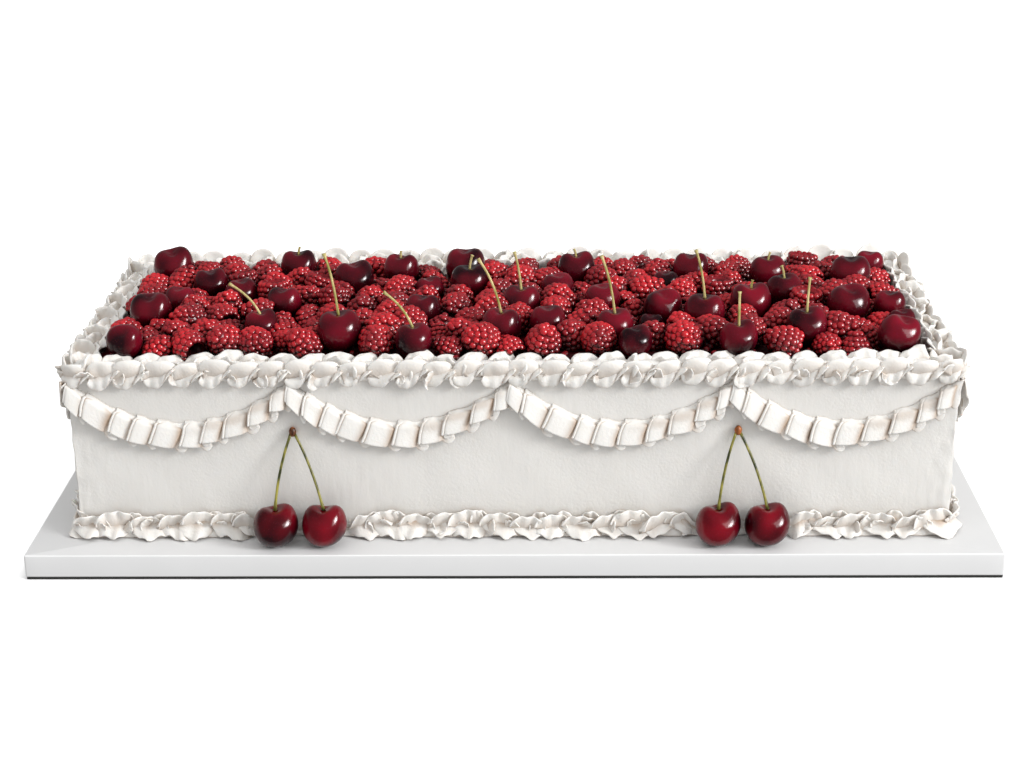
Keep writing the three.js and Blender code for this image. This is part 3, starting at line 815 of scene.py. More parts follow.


# Swags

# One pleat in plan: how far along it and how far out, its share of the lower layer's tip and its depth,
# all from 0 to 1; the depth is painted shade, darker in the recesses. The panel starts at a folded edge that
# stands proud, slopes in to its right end and runs on under the next panel, where it turns back to the next
# folded edge
PLEAT = [(0.02, 0.58, 0, 1.0), (-0.015, 0.72, 0, 0.9), (-0.02, 0.90, 0, 0.4), (0.0, 1.02, 0, 0.0),
         (0.02, 1.00, 0, 0.1), (0.04, 0.70, 0, 1.0), (0.07, 0.76, 0, 0.85), (0.105, 1.00, 0, 0.05),
         (0.22, 1.07, 0, 0.0), (0.38, 1.07, 0, 0.0), (0.54, 1.03, 0, 0.0), (0.67, 0.98, 0, 0.15),
         (0.77, 0.91, 0, 0.5), (0.845, 0.80, 0, 0.85), (0.885, 0.60, 0, 1.0), (0.92, 0.44, 0.1, 1.0),
         (1.00, 0.40, 0.7, 0.5), (1.14, 0.46, 1.0, 0.05), (1.32, 0.50, 0.6, 0.1), (1.36, 0.58, 0.1, 0.6),
         (1.20, 0.60, 0, 0.8), (1.08, 0.58, 0, 0.9)]


def pleat_line(pleats, seed):
    """The pleated ribbon in plan, a column each for its even place, pleated place, how far out, share of the
    tip, depth of painted shade, place across the panel, slant of the panel's foot and how far its folds
    stand askew."""
    rows = []
    widths = np.array([between(seed + 7 * k, 0.76, 1.24) * (0.66 if k == 0 else 1.0) for k in range(pleats)])
    widths *= 1 - 0.28 * smooth(0.6, 1.0, np.arange(pleats) / pleats)
    starts = np.concatenate([[0.0], np.cumsum(widths)]) * pleats / widths.sum()
    for k in range(pleats):
        wide = starts[k + 1] - starts[k]
        deep, twist = draws(seed + 7 * k + 1, (0.8, 1.12), (-0.2, 0.35))
        askew = between(seed + 7 * k + 4, -0.07, 0.08)
        slant = between(seed + 5 * k, 0.2, 3.2) + 3.6 * float(smooth(0.5, 0.9, k / pleats))
        dark = 0.4 if k == 0 else 1.0
        for i, (along, out, tip, depth) in enumerate(PLEAT):
            tilt = 1 - twist * (along - 0.4) * float(smooth(0.6, 0.9, out))
            rows.append((starts[k] + wide * i / len(PLEAT), starts[k] + wide * along, out * deep * tilt, tip,
                         depth * dark, min(max(along, 0.0), 1.0), slant, askew))
    rows.append((pleats, pleats, 0.5, 0.0, 0.5, 0.0, 0.0, 0.0))
    line = np.array(rows)
    t = np.arange(len(line))
    fine = np.arange(0, len(line) - 1 + 1e-6, 1 / 2)
    return np.stack([smooth_through(t, line[:, i], fine) for i in range(line.shape[1])])


def smooth_through(t, values, at):
    """A Catmull-Rom curve through even samples."""
    padded = np.concatenate([[2 * values[0] - values[1]], values, [2 * values[-1] - values[-2]]])
    base = np.clip(np.floor(at).astype(int), 0, len(values) - 2)
    f = at - base
    a, b, c, d = (padded[base + i] for i in range(4))
    return 0.5 * (2 * b + (c - a) * f + (2 * a - 5 * b + 4 * c - d) * f**2 + (3 * b - a - 3 * c + d) * f**3)


def swag(span, pleats, seed):
    """One swag from its left peak to its right one, on a wall facing -Y at y = 0: a ribbon of two faces."""
    even, pleated, out, tip, depth, across, slant, askew = pleat_line(pleats, seed)
    t, tp = even / pleats, pleated / pleats
    thick, sunk, flare = 1.0, 0.7, 4.4
    hang = np.sqrt(np.clip(4 * t * (1 - t), 0, 1))
    long = SWAG["end_width"] + (SWAG["mid_width"] - SWAG["end_width"]) * hang
    long += slant * (across - 0.5) + 2.9 * tip - 0.5
    # The first and last sections shrink to the top, so that the ends close without a wide cap
    shut = np.where((t < 0.001) | (t > 0.999), 0.06, 1.0)
    long *= shut
    right_half_shade = smooth(0.48, 0.7, tp) * smooth(1.0, 0.9, tp)
    ends = smooth(0.0, 0.05, t) * smooth(0.0, 0.04, 1 - t)
    proud = 1.6 * (1 - smooth(0.0, 0.1, t))
    faces, backs, depths = [], [], []
    for v in (0.0, 0.04, 0.08, 0.13, 0.19, 0.27, 0.37, 0.49, 0.62, 0.75, 0.87, 0.95, 1.0):
        open_up = float(smooth(0.02, 0.17, v))
        foot = float(smooth(0.5, 1.0, v))
        s = t + (tp - t) * open_up
        began = smooth(0.0, 0.2, s)
        lean = 0.16 * (1 - began) + (0.50 - 0.36 * s) * began + askew * open_up
        sway = 0.05 * math.sin(math.pi * v) * np.sin(9.0 * tp + seed)
        down = long * v
        x = s * span - down * np.sin(lean) + 1.6 * tip * foot + sway * long
        z = BOARD_TOP + SWAG["peak"] - SWAG["drop"] * 4 * s * (1 - s) - down * np.cos(lean)
        z += (2.6 * (0.45 - across) * (0.55 + 0.45 * open_up) + 9.0 * askew * open_up) * (1 - foot) * ends
        reach = 0.5 + 0.9 * float(smooth(0.0, 0.06, v)) + proud * v ** 0.5 + 0.8 * tip * foot
        curl = 4.0 * askew * math.sin(3.0 * v + 0.4)
        reach += flare * open_up * (0.4 + 0.6 * v) * out * (0.4 + 0.6 * ends) + curl
        reach = 0.5 + (reach - 0.5) * shut
        ahead = np.stack([np.gradient(x), np.gradient(reach)])
        ahead /= np.maximum(np.linalg.norm(ahead, axis=0), 1e-6)
        aside = 0.5 * thick * (0.5 + 0.5 * open_up) * np.stack([-ahead[1], ahead[0]])
        faces.append(np.stack([x + aside[0], -np.maximum(reach + aside[1], GAP), z], axis=1))
        backs.append(np.stack([x - aside[0], -np.maximum(reach - aside[1], GAP), z], axis=1))
        # Painted shade over the upper part of the swag's right half
        shaded = 0.42 * right_half_shade * open_up * (1 - float(smooth(0.3, 0.62, v)))
        depths.append(np.maximum(depth * open_up * (1 - 0.35 * foot), shaded))
    top = faces[0] * (1, 0, 1) + (0, sunk, 0.7)
    toe = (faces[-1] + backs[-1]) / 2 - (0, 0, 0.35)
    root = backs[5] * (1, 0, 1) + (0, sunk, 0)
    loops = np.stack([top, *faces, toe, *backs[:6:-1], root], axis=1)
    # The hidden back is painted faintly shaded
    hidden = [np.full(len(t), 0.1)] * (len(loops[0]) - len(faces) - 2)
    depth = np.stack([np.zeros(len(t)), *depths, 0.3 * depths[-1], *hidden], axis=1).ravel()
    return (*loft(loops), np.append(np.clip(depth, 0, 1), (0.5, 0.5)))


# Fruit


def turned_by(axes, angles):
    """Euler angles of one turn after another, the first one named being the outermost."""
    turn = Matrix.Identity(3)
    for axis, angle in zip(axes, angles):
        turn = turn @ Matrix.Rotation(angle, 3, axis)
    return tuple(turn.to_euler())


def turned(points, lean):
    """Points leant about X, then about Y, by degrees."""
    if not lean:
        return np.asarray(points)
    about_y = Matrix.Rotation(math.radians(lean[1]), 3, "Y")
    about_x = Matrix.Rotation(math.radians(lean[0]), 3, "X")
    return np.asarray(points) @ np.array(about_y @ about_x).T


def cherry_fruit(diameter, seed, rows=26, sides=36):
    """A cherry about its centre: squat, heart-shouldered, with a dimple on top and a faint seam."""
    radius = diameter / 2
    heart, turn_by, lumps = draws(seed, (0.07, 0.17), (-30, 30), (0.0, 1.0))
    shoulders = math.radians(turn_by)
    seam = shoulders + math.pi / 2
    loops = []
    for i in range(1, rows):
        angle = math.pi * (i / rows - 0.5)
        flat = math.cos(angle) ** 0.9
        loop = []
        for j in range(sides):
            turn = 2 * math.pi * j / sides
            r = radius * flat * (1 + 0.012 * math.sin(3 * turn + 6 * lumps))
            r *= 1 - 0.02 * hump(math.remainder(turn - seam, 2 * math.pi), 0.22)
            z = FRUIT_SQUAT * radius * math.sin(angle)
            if angle > 0:
                shoulder = heart * radius * math.cos(2 * (turn - shoulders))
                shoulder *= float(smooth(0.0, 0.8, math.sin(angle)))
                z += 1.3 * shoulder * flat - (0.96 - DIMPLE) * radius * hump(r, 0.36 * radius)
            z += 0.35 * heart * radius * math.cos(turn - shoulders) * flat
            loop.append((r * math.cos(turn), r * math.sin(turn), z))
        loops.append(loop)
    return loft(loops)


def stem_tube(foot, tip, middle, radius, tip_swell, steps=12):
    """A stem along a bend, flared where it leaves the fruit and at its cut end."""
    t = np.linspace(0, 1, steps)[:, None]
    route = (1 - t) ** 2 * foot + 2 * t * (1 - t) * middle + t**2 * tip
    t = t[:, 0]
    slim, sides = 0.82, 10
    foot_flare, tip_flare = np.exp(-((t / 0.08) ** 2)), np.exp(-(((1 - t) / 0.06) ** 2))
    return tube(route, radius * (slim + 0.35 * foot_flare + (tip_swell - slim) * tip_flare), sides)


def raspberry_places():
    """The heap's raspberries, by the same rule as in the part's source."""
    radius = RASPBERRY_RADIUS
    fixed = [[x, y, d / 2, True] for x, y, d in CHERRIES]
    fruits = [list(one) for one in fixed]
    half_x = HEAP_HALF[0] - radius - HEAP["wall_gap"]
    half_y = HEAP_HALF[1] - radius - HEAP["wall_gap"]
    rows = int(2 * half_y / HEAP["row_pitch"] + 0.5)
    columns = int(2 * half_x / HEAP["pitch"] + 0.5)
    for row in range(rows + 1):
        for column in range(columns + 1):
            seed = row * 100 + column
            stagger = 0 if row % 2 == 0 else HEAP["pitch"] / 2
            x = -half_x + column * HEAP["pitch"] + stagger + HEAP["jitter"] * (draw(seed) - 0.5)
            y = -half_y + row * 2 * half_y / rows + HEAP["jitter"] * (draw(seed + 5000) - 0.5)
            if abs(x) <= half_x + 1 and clear_of(fixed, x, y, 0.35 * radius):
                fruits.append([x, y, radius, False])
    for _ in range(HEAP["passes"]):
        ease_apart(fruits, half_x, half_y)
    return [(x, y) for x, y, r, still in fruits if not still and clear_of(fixed, x, y, r - 0.8)]


def clear_of(fixed, x, y, room):
    """Whether a place has this much room beside every fruit that stays still."""
    return all(math.hypot(x - a, y - b) > r + room for a, b, r, _ in fixed)


def ease_apart(fruits, half_x, half_y):
    """Moves each raspberry off its neighbours by half of what it overlaps them."""
    for one in fruits:
        if one[3]:
            continue
        for other in fruits:
            dx, dy = one[0] - other[0], one[1] - other[1]
            reach = one[2] + other[2] + GAP
            if other is one or abs(dx) > reach or abs(dy) > reach:
                continue
            apart = math.hypot(dx, dy)
            if reach - apart > 0:
                share = (1 if other[3] else 0.5) * (reach - apart) / max(apart, 0.1)
                one[0] += dx * share
                one[1] += dy * share
        one[0] = min(max(one[0], -half_x), half_x)
        one[1] = min(max(one[1], -half_y), half_y)


def tucked_places(places):
    """Gaps in the heap where a lower raspberry shows between the others."""
    found = []
    step, wall, apart, beside = 5.0, 10.0, 14.5, 5.5
    for row in range(int(2 * HEAP_HALF[1] / step)):
        for column in range(int(2 * HEAP_HALF[0] / step)):
            x, y = -HEAP_HALF[0] + step * (column + 0.5), -HEAP_HALF[1] + step * (row + 0.5)
            if abs(x) > HEAP_HALF[0] - wall or abs(y) > HEAP_HALF[1] - wall:
                continue
            free = all(math.hypot(x - a, y - b) > apart for a, b in [*places, *found])
            if free and all(math.hypot(x - a, y - b) > d / 2 + beside for a, b, d in CHERRIES):
                found.append((x, y))
    return found


def bead(sides=8):
    """A juice bead of radius 1 as a dome about +Z with a blunt foot, and how deep each point lies, by which
    shade is painted towards its foot.
    """
    angles = (34, 64, 94)
    points = [(0, 0, 1.0)]
    for ring, angle in enumerate(math.radians(a) for a in angles):
        wide, high = math.sin(angle), math.cos(angle)
        for j in range(sides):
            turn = 2 * math.pi * (j + 0.5 * (ring % 2)) / sides
            points.append((wide * math.cos(turn), wide * math.sin(turn), high))
    points.append((0, 0, -0.5))
    faces = [(0, 1 + j, 1 + (j + 1) % sides) for j in range(sides)]
    for ring in range(len(angles) - 1):
        a, b = 1 + ring * sides, 1 + (ring + 1) * sides
        skip = ring % 2
        for j in range(sides):
            k = (j + 1) % sides
            across, next_one = b + (j + skip) % sides, b + (k + skip) % sides
            faces += [(a + j, across, a + k), (a + k, across, next_one)]
    last = 1 + (len(angles) - 1) * sides
    faces += [(len(points) - 1, last + (j + 1) % sides, last + j) for j in range(sides)]
    points = np.array(points)
    return points, faces, 1 - np.clip(points[:, 2] * 0.5 + 0.5, 0, 1) ** 1.6


def raspberry_shape(seed, hollow_up=False):
    """One raspberry about its middle, with each point's depth: rings of beads over a hollow core."""
    levels, bead_pitch, bead_sunk = 6, 3.9, 1.9
    length, wide, snub = draws(seed, (17.0, 19.5), (9.3, 10.2), (2.4, 3.2))

    def outline(t):
        swell = 0.90 + 0.16 * math.sin(math.pi * min(t * 1.5, 1.0))
        return wide * swell * math.sqrt(max(1 - (t * 0.985) ** snub, 0.0))

    ball, ball_faces, ball_depth = bead()
    parts, depths = [], []

    def set_bead(at, way, size):
        turn = np.array(Vector((0, 0, 1)).rotation_difference(Vector(way)).to_matrix())
        parts.append((ball @ turn.T * size + at, ball_faces))
        depths.append(ball_depth)

    for level in range(levels):
        t = (level + 0.4) / levels
        ring = max(outline(t) - bead_sunk, 0.4)
        slope = 0.5 * math.pi * smooth(0.3, 1.0, t)
        count = max(int(round(2 * math.pi * (ring + 1.2) / bead_pitch)), 1)
        if level == levels - 1:
            count = 5 if ring > 2 else 1
        for i in range(count):
            key = seed + 17 * level + i
            turn = 2 * math.pi * (i + 0.5 * (level % 2) + between(key, -0.15, 0.15)) / count
            cos, sin = math.cos(turn), math.sin(turn)
            way = np.array([cos * math.cos(slope), sin * math.cos(slope), math.sin(slope)])
            at = np.array([ring * cos, ring * sin, length * (t - 0.5) + between(key + 9, -0.3, 0.3)])
            set_bead(at + way * between(key + 3, -0.3, 0.4), way, between(key + 5, 2.15, 2.65))
    tip = length / 2 - bead_sunk
    set_bead(np.array([0, 0, tip]), (0, 0, 1), 2.3)
    sides = 14
    profile = [(outline(t) - 0.5, length * (t - 0.5)) for t in (0.0, 0.12, 0.3, 0.5, 0.7, 0.86, 0.95)]
    profile += [(0.6, tip)]
    cave = [(0.4, 5.0), (2.0, 3.6), (wide * 0.36, -2.0), (wide * 0.5, -length / 2 + 2),
            (wide * 0.62, -length / 2 + 0.2)]
    rounds = np.linspace(0, 2 * math.pi, sides, endpoint=False)
    core = loft([[(r * math.cos(a), r * math.sin(a), z) for a in rounds] for r, z in cave + profile])
    parts.append(core)
    # Painted shade: the core between the beads is painted as deep, so dark
    depths.append(np.where(np.arange(len(core[0])) < len(cave) * sides, 0.85, 0.9))
    points, faces = joined(parts)
    points = np.array(points)
    if hollow_up:
        points[:, 1:] *= -1
    return points, faces, np.concatenate(depths)


# Settings


class CakeSizes(bpy.types.PropertyGroup):
    """Sizes that a user would change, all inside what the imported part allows."""

    streak_depth: FloatProperty(name="Streak depth", description="Relief of the smoothed sides, in mm",
                                default=0.35, min=0.0, max=1.0)
    top_petals: IntProperty(name="Top petals", description="Fans round the top border",
                            default=88, min=60, max=110)
    foot_petals: IntProperty(name="Foot petals", description="Cups round the foot border",
                             default=89, min=60, max=110)
    long_swags: IntProperty(name="Swags on a long side", description="Loops between peaks", default=4)
    short_swags: IntProperty(name="Swags on a short side", description="Loops between peaks", default=2)
    pleats: IntProperty(name="Pleats", description="Pleats in a swag of a long side", default=10)
    seed: IntProperty(name="Seed", description="Shuffles the piping", default=7)


def colour(name, description, hex_colour):
    """A colour that a user picks, from 0 to 1 in each channel."""
    return FloatVectorProperty(name=name, description=description, subtype="COLOR",
                               default=linear(hex_colour)[:3], min=0, max=1)


class CakeColours(bpy.types.PropertyGroup):
    """Colours that a user would change."""

    frosting: colour("Buttercream", "Lit buttercream", "#E8E6E2")
    # Painted shade: the beige that the hollows and folds of the buttercream are painted
    hollow: colour("Hollows", "Buttercream deep in a fold", "#B39D88")
    board: colour("Board", "Paper of the cake drum", "#D9D9D9")
    cherry: colour("Cherry", "Cherry skin where it is brightest", "#780B20")
    raspberry: colour("Raspberry", "Crown of a bead", "#C81422")


# Operators


class CAKE_OT_board(bpy.types.Operator):
    """Makes the cake drum: thick card wrapped in white paper, with soft wrapped edges"""

    bl_idname = "cake.board"
    bl_label = "Board"

    def execute(self, context):
        _, (half_x, half_y, _) = [np.array(corner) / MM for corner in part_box("board")]
        # Heights, and how far out the skin stands there
        levels = [(0.0, -0.5), (1.3, -0.4), (1.7, -0.3), (1.9, -0.05), (2.4, 0.0), (8.0, 0.05), (14.0, 0.0),
                  (14.7, -0.15), (14.9, -0.4), (15.0, -0.8)]
        painted_highlight_from, painted_shadow_below, corner, sway = 14.7, 1.5, 1.3, 0.1
        # The fold finish is a painted highlight along the top edge and the card finish a painted contact
        # shadow along the foot
        paper, fold, card = range(3)
        points, ways = block_outline(half_x, half_y, corner, 9.0)

        def off_line(x, y, z, _):
            return sway * noise.noise(Vector((x * 0.02, y * 0.02, z * 0.05))) - sway

        skin, faces = loft(swept(points, ways, levels, off_line))
        kinds = []
        for z, _ in levels[:-1]:
            kinds += [fold if z >= painted_highlight_from else card if z < painted_shadow_below else paper] * len(points)
        # Both flat ends are paper
        kinds += [paper] * (len(faces) - len(kinds))
        # Along the foot of the edge the board is painted dark grey, a painted contact shadow that shows as a
        # thin dark line
        finishes = [drum_paper("Cake drum, white paper", (*context.scene.cake_colours.board, 1), 0.12),
                    drum_paper("Cake drum, pressed fold", linear("#EEEEEE"), 0.03),
                    drum_paper("Cake drum, grey card", linear("#3A3A38"), 0.2)]
        dress(new_object("cake_board", skin, faces, finishes, kinds), "board")
        return {"FINISHED"}


class CAKE_OT_body(bpy.types.Operator):
    """Makes the frosted body: smoothed sides with upright streaks, dips and rough corners"""

    bl_idname = "cake.body"
    bl_label = "Frosted body"

    def execute(self, context):
        depth = context.scene.cake_sizes.streak_depth
        corner = 1.4
        points, ways = block_outline(HALF_LENGTH, HALF_DEPTH, corner, 2.0, arc=5)
        base, top = BOARD_TOP + GAP, CAKE_TOP
        levels = [(base, -2.0), (base + 0.6, -0.6)]
        levels += [(z, 0.0) for z in np.linspace(base + 2, top - 2, 44)]
        levels += [(top - 0.6, -0.6), (top, -2.0), (top, -9.0)]

        def off_line(x, y, z, way):
            run = x * abs(way[1]) - y * abs(way[0]) + 300 * way[0]
            streak = noise.noise(Vector((run * 0.32, z * 0.06, way[0] * 2)))
            wide = noise.noise(Vector((run * 0.045, z * 0.05, 9.0)))
            pit = max(noise.noise(Vector((run * 0.42, z * 0.3, 21.0))) - 0.42, 0) * 2.0
            # The scraper leaves its lumps and ridges close to the corners
            near = 1 - float(smooth(2.0, 20.0, math.hypot(HALF_LENGTH - abs(x), HALF_DEPTH - abs(y))))
            rough = near * (1.3 * noise.noise(Vector((x * 0.3, y * 0.3, z * 0.14))) + 0.4 * streak)
            return depth * (0.3 * streak + 1.2 * wide - pit * 1.3) + 0.6 * rough - 0.2

        skin, faces = loft(swept(points, ways, levels, off_line))
        # Painted shade: the smoothed sides get a darker copy of the cream than the piping
        cream = buttercream("Buttercream, smoothed", True, 0.87)
        dress(new_object("frosted_sides", skin, faces, [cream]), "frosted_cake")
        return {"FINISHED"}


class CAKE_OT_top_border(bpy.types.Operator):
    """Pipes the border round the top: a row of upright fans over a row of folded leaves"""

    bl_idname = "cake.top_border"
    bl_label = "Top border"

    def execute(self, context):
        count, seed = context.scene.cake_sizes.top_petals, context.scene.cake_sizes.seed
        section = [(-12.9, 0.0), (-0.4, 0.0), (0.45, -3.6), (1.6, -3.8), (2.2, -1.6), (0.9, 1.2),
                   (-2.4, 3.4), (-4.2, 4.4), (-7.4, 4.8), (-9.8, 3.8), (-11.8, 2.0)]
        core = border_core(section, CAKE_TOP + GAP, 13.0)
        edge, outside = ring_out(0.6, 6.0), ring_out(2.6, 8.0)
        middle, inner = ring_out(-4.8, 7.0), ring_out(-9.8, 8.0)
        calm, loose, torn = (0.07, 0.1), (0.1, 0.24), (0.15, 0.35)
        askew, about = ((-0.6, 0, 0.9), (-0.5, 0, math.pi - 0.7)), ((0, 0, math.pi),)
        made = [
            piped_row("top_border_fans", edge, CAKE_TOP + 0.9, count, upper_petal, seed + 100, calm, seed),
            piped_row("top_border_leaves", edge, CAKE_TOP - 2.6, count, lower_petal, seed + 500, calm, seed,
                      0.06),
            piped_row("top_border_crests", middle, CAKE_TOP - 0.6, count, inner_petal, seed + 900, loose,
                      seed, 0.2, askew),
            piped_row("top_border_curls", inner, CAKE_TOP + 0.4, count - 4, inner_petal, seed + 1300, loose,
                      seed, 0.6, about),
            piped_row("top_border_flakes", outside, CAKE_TOP - 0.6, count, flake, seed + 1700, torn,
                      seed + 40, 0.5, FLAKE_TURNS),
            new_object("top_border_bead", *core, [piped_cream()]),
        ]
        for piece in made:
            inner_row = piece.name.endswith(("crests", "curls"))
            settle(piece, 2.4 if inner_row else 0.0)
            dress(piece, "top_border")
        return {"FINISHED"}


class CAKE_OT_foot_border(bpy.types.Operator):
    """Pipes the border round the foot: open cups over pointed scoops, pressed flat behind the cherries"""

    bl_idname = "cake.foot_border"
    bl_label = "Foot border"

    def execute(self, context):
        count, seed = context.scene.cake_sizes.foot_petals, context.scene.cake_sizes.seed
        seat, pace = BOARD_TOP + GAP, seed + 900
        section = [(0.35, 0.0), (3.6, 0.0), (4.0, 1.0), (3.4, 3.0), (2.4, 5.4), (1.2, 7.6), (0.35, 9.2)]
        core = border_core(section, seat, 15.8)
        ring, outside = ring_out(0.7, 8.0), ring_out(2.8, 9.0)
        made = [
            new_object("foot_border_bead", *core, [piped_cream()]),
            piped_row("foot_border_backs", ring, seat, count, back_petal, seed + 3000, (0.1, 0.14), pace,
                      0.5),
            piped_row("foot_border_cups", ring, seat, count, cup_petal, seed + 2000, (0.09, 0.15), pace),
            piped_row("foot_border_scoops", ring, seat, count, foot_petal, seed + 2500, (0.08, 0.08), pace,
                      0.04),
            piped_row("foot_border_flakes", outside, seat + 7.0, count + 12, flake, seed + 3500, (0.15, 0.4),
                      pace + 50, 0.5, FLAKE_TURNS),
        ]
        for piece in made:
            press(piece)
            dress(piece, "foot_border")
        return {"FINISHED"}


class CAKE_OT_swags(bpy.types.Operator):
    """Pipes the pleated ribbons that hang in loops round the four sides"""

    bl_idname = "cake.swags"
    bl_label = "Swags"

    def execute(self, context):
        sizes = context.scene.cake_sizes
        long_span = 126.0
        long_side = (sizes.long_swags, HALF_LENGTH, HALF_DEPTH)
        short_side = (sizes.short_swags, HALF_DEPTH, HALF_LENGTH)
        sides = {"front": long_side, "right": short_side, "back": long_side, "left": short_side}
        for quarter, (name, (count, half_run, away)) in enumerate(sides.items()):
            run = 2 * (half_run - SWAG["inset"])
            span = run / count
            pleats = max(int(round(sizes.pleats * span / long_span)), 4)
            turn = np.array(Matrix.Rotation(quarter * math.pi / 2, 3, "Z"))
            parts, depths = [], []
            for k in range(count):
                points, faces, depth = swag(span, pleats, 500 + 90 * quarter + 20 * k)
                depths.append(depth)
                parts.append(((np.array(points) + (k * span - run / 2, -away, 0)) @ turn.T, faces))
            depth = np.concatenate(depths)
            made = new_object(f"swags_{name}_ribbon", *joined(parts), [piped_cream()], depth=depth)
            dress(made, f"swags_{name}")
        return {"FINISHED"}


class CAKE_OT_raspberries(bpy.types.Operator):
    """Heaps the raspberries on their bed of crushed berries"""

    bl_idname = "cake.raspberries"
    bl_label = "Raspberries"

    def execute(self, context):
        flesh = raspberry_flesh()
        places = raspberry_places()
        letters = "abcdef"
        whole = len(letters) - 1
        hollow_share, front_share = 0.05, 0.75
        seat, tucked_seat = BED_TOP + 8.6, BED_TOP + 4.2
        groups = {letter: [] for letter in letters}
        for i, (x, y) in enumerate(places):
            # A few lie with their hollow up; most of the others lean their tip to the front
            hollow = draw(i + 4100) < hollow_share
            letter = letters[whole if hollow else int(draw(i + 4200) * whole)]
            tilt = between(i + 4300, 0, 28) if hollow else between(i + 4300, 28, 86)
            about = between(i + 4400, 0, 360)
            if not hollow and draw(i + 4500) < front_share:
                about = between(i + 4600, 205, 335)
            turn = turned_by("ZYZ", (math.radians(about), math.radians(tilt), between(i + 4700, 0, 6.28)))
            low = 3.4 * float(smooth(52, 72, y)) + 1.6 * float(smooth(205, 228, abs(x)))
            z = seat + between(i + 4800, -1.0, 1.4) - low
            groups[letter].append(((x, y, z), turn, between(i + 4900, 0.93, 1.05) - 0.015 * low))
        for i, (x, y) in enumerate(tucked_places(places)):
            turn = turned_by("ZY", (between(i + 8000, 0, 6.28), between(i + 8100, 0.2, 1.5)))
            groups[letters[i % whole]].append(((x, y, tucked_seat), turn, between(i + 8200, 0.82, 0.95)))
        for kind, (letter, group) in enumerate(groups.items()):
            shape = raspberry_shape(600 + 200 * kind, hollow_up=kind == whole)
            made = scatter(f"raspberries_kind_{letter}", group, [shape], flesh, 3, 0.0, 0.0)
            dress(made, "raspberries")
        self.crushed_bed(flesh)
        return {"FINISHED"}

    def crushed_bed(self, flesh):
        """The bed of crushed berries: a lumpy slab with loose beads on it."""
        inset, thick, bead_count = 0.6, 1.4, 900
        half_x, half_y = HEAP_HALF[0] - inset, HEAP_HALF[1] - inset
        points, _ = block_outline(half_x, half_y, 2.0, 6.0)
        base = CAKE_TOP + GAP
        slab = loft([[(x, y, z) for x, y in points] for z in (base, base + thick)])
        ball, faces, depth = bead()
        loose = []
        for i in range(bead_count):
            x, y = half_x * between(i + 5100, -0.98, 0.98), half_y * between(i + 6100, -0.97, 0.97)
            size = between(i + 7100, 1.6, 2.9)
            loose.append(((x, y, base + 1.2 + 0.5 * size), (draw(i) - 0.5, draw(i + 1) - 0.5, 0), size))
        # Painted shade: the loose beads are painted deeper, so darker, than the beads on the berries
        made = scatter("crushed_berries", loose, [(ball, faces, 0.4 + 0.6 * depth)], flesh, 5, 0.1, 0.3)
        for piece in (made, new_object("crushed_berry_bed", *slab, [crushed_flesh()])):
            dress(piece, "raspberries")


class CAKE_OT_cherries(bpy.types.Operator):
    """Sets the dark cherries on the heap, some with their stems"""

    bl_idname = "cake.cherries"
    bl_label = "Cherries on top"

    def execute(self, context):
        bright = (*context.scene.cake_colours.cherry, 1)
        finishes = [cherry_skin("Cherry skin, dark", linear("#1E0108"), bright),
                    stalk("Cherry stalk, straw", linear("#8F8A3E"), linear("#D8C48E"))]
        for number, (x, y, diameter) in enumerate(CHERRIES, 1):
            stem, lean = STEMS.get(number), LEANS.get(number)
            centre = np.array((x, y, BED_TOP + GAP + FRUIT_SQUAT * diameter / 2))
            parts = [cherry_fruit(diameter, 800 + 11 * number)]
            foot = np.array((0, 0, DIMPLE * diameter / 2))
            if stem or number in STUBBED:
                run = np.array(stem or (between(number + 70, -1.5, 1.5), 0.3, 5.0), dtype=float)
                tip = foot + run
                middle = (foot + tip) / 2 + (-run[0] / 4, 0, run[2] / 12)
                parts.append(stem_tube(foot - (0, 0, 1.0), tip, middle, STEM_RADIUS, 1.4 if stem else 1.1))
            points, faces = joined([(turned(points, lean) + centre, faces) for points, faces in parts])
            fruit_faces = len(parts[0][1])
            kinds = [0] * fruit_faces + [1] * (len(faces) - fruit_faces)
            made = new_object(f"top_cherry_{number:02d}", points, faces, finishes, kinds)
            dress(made, f"cherry_{number:02d}")
        return {"FINISHED"}


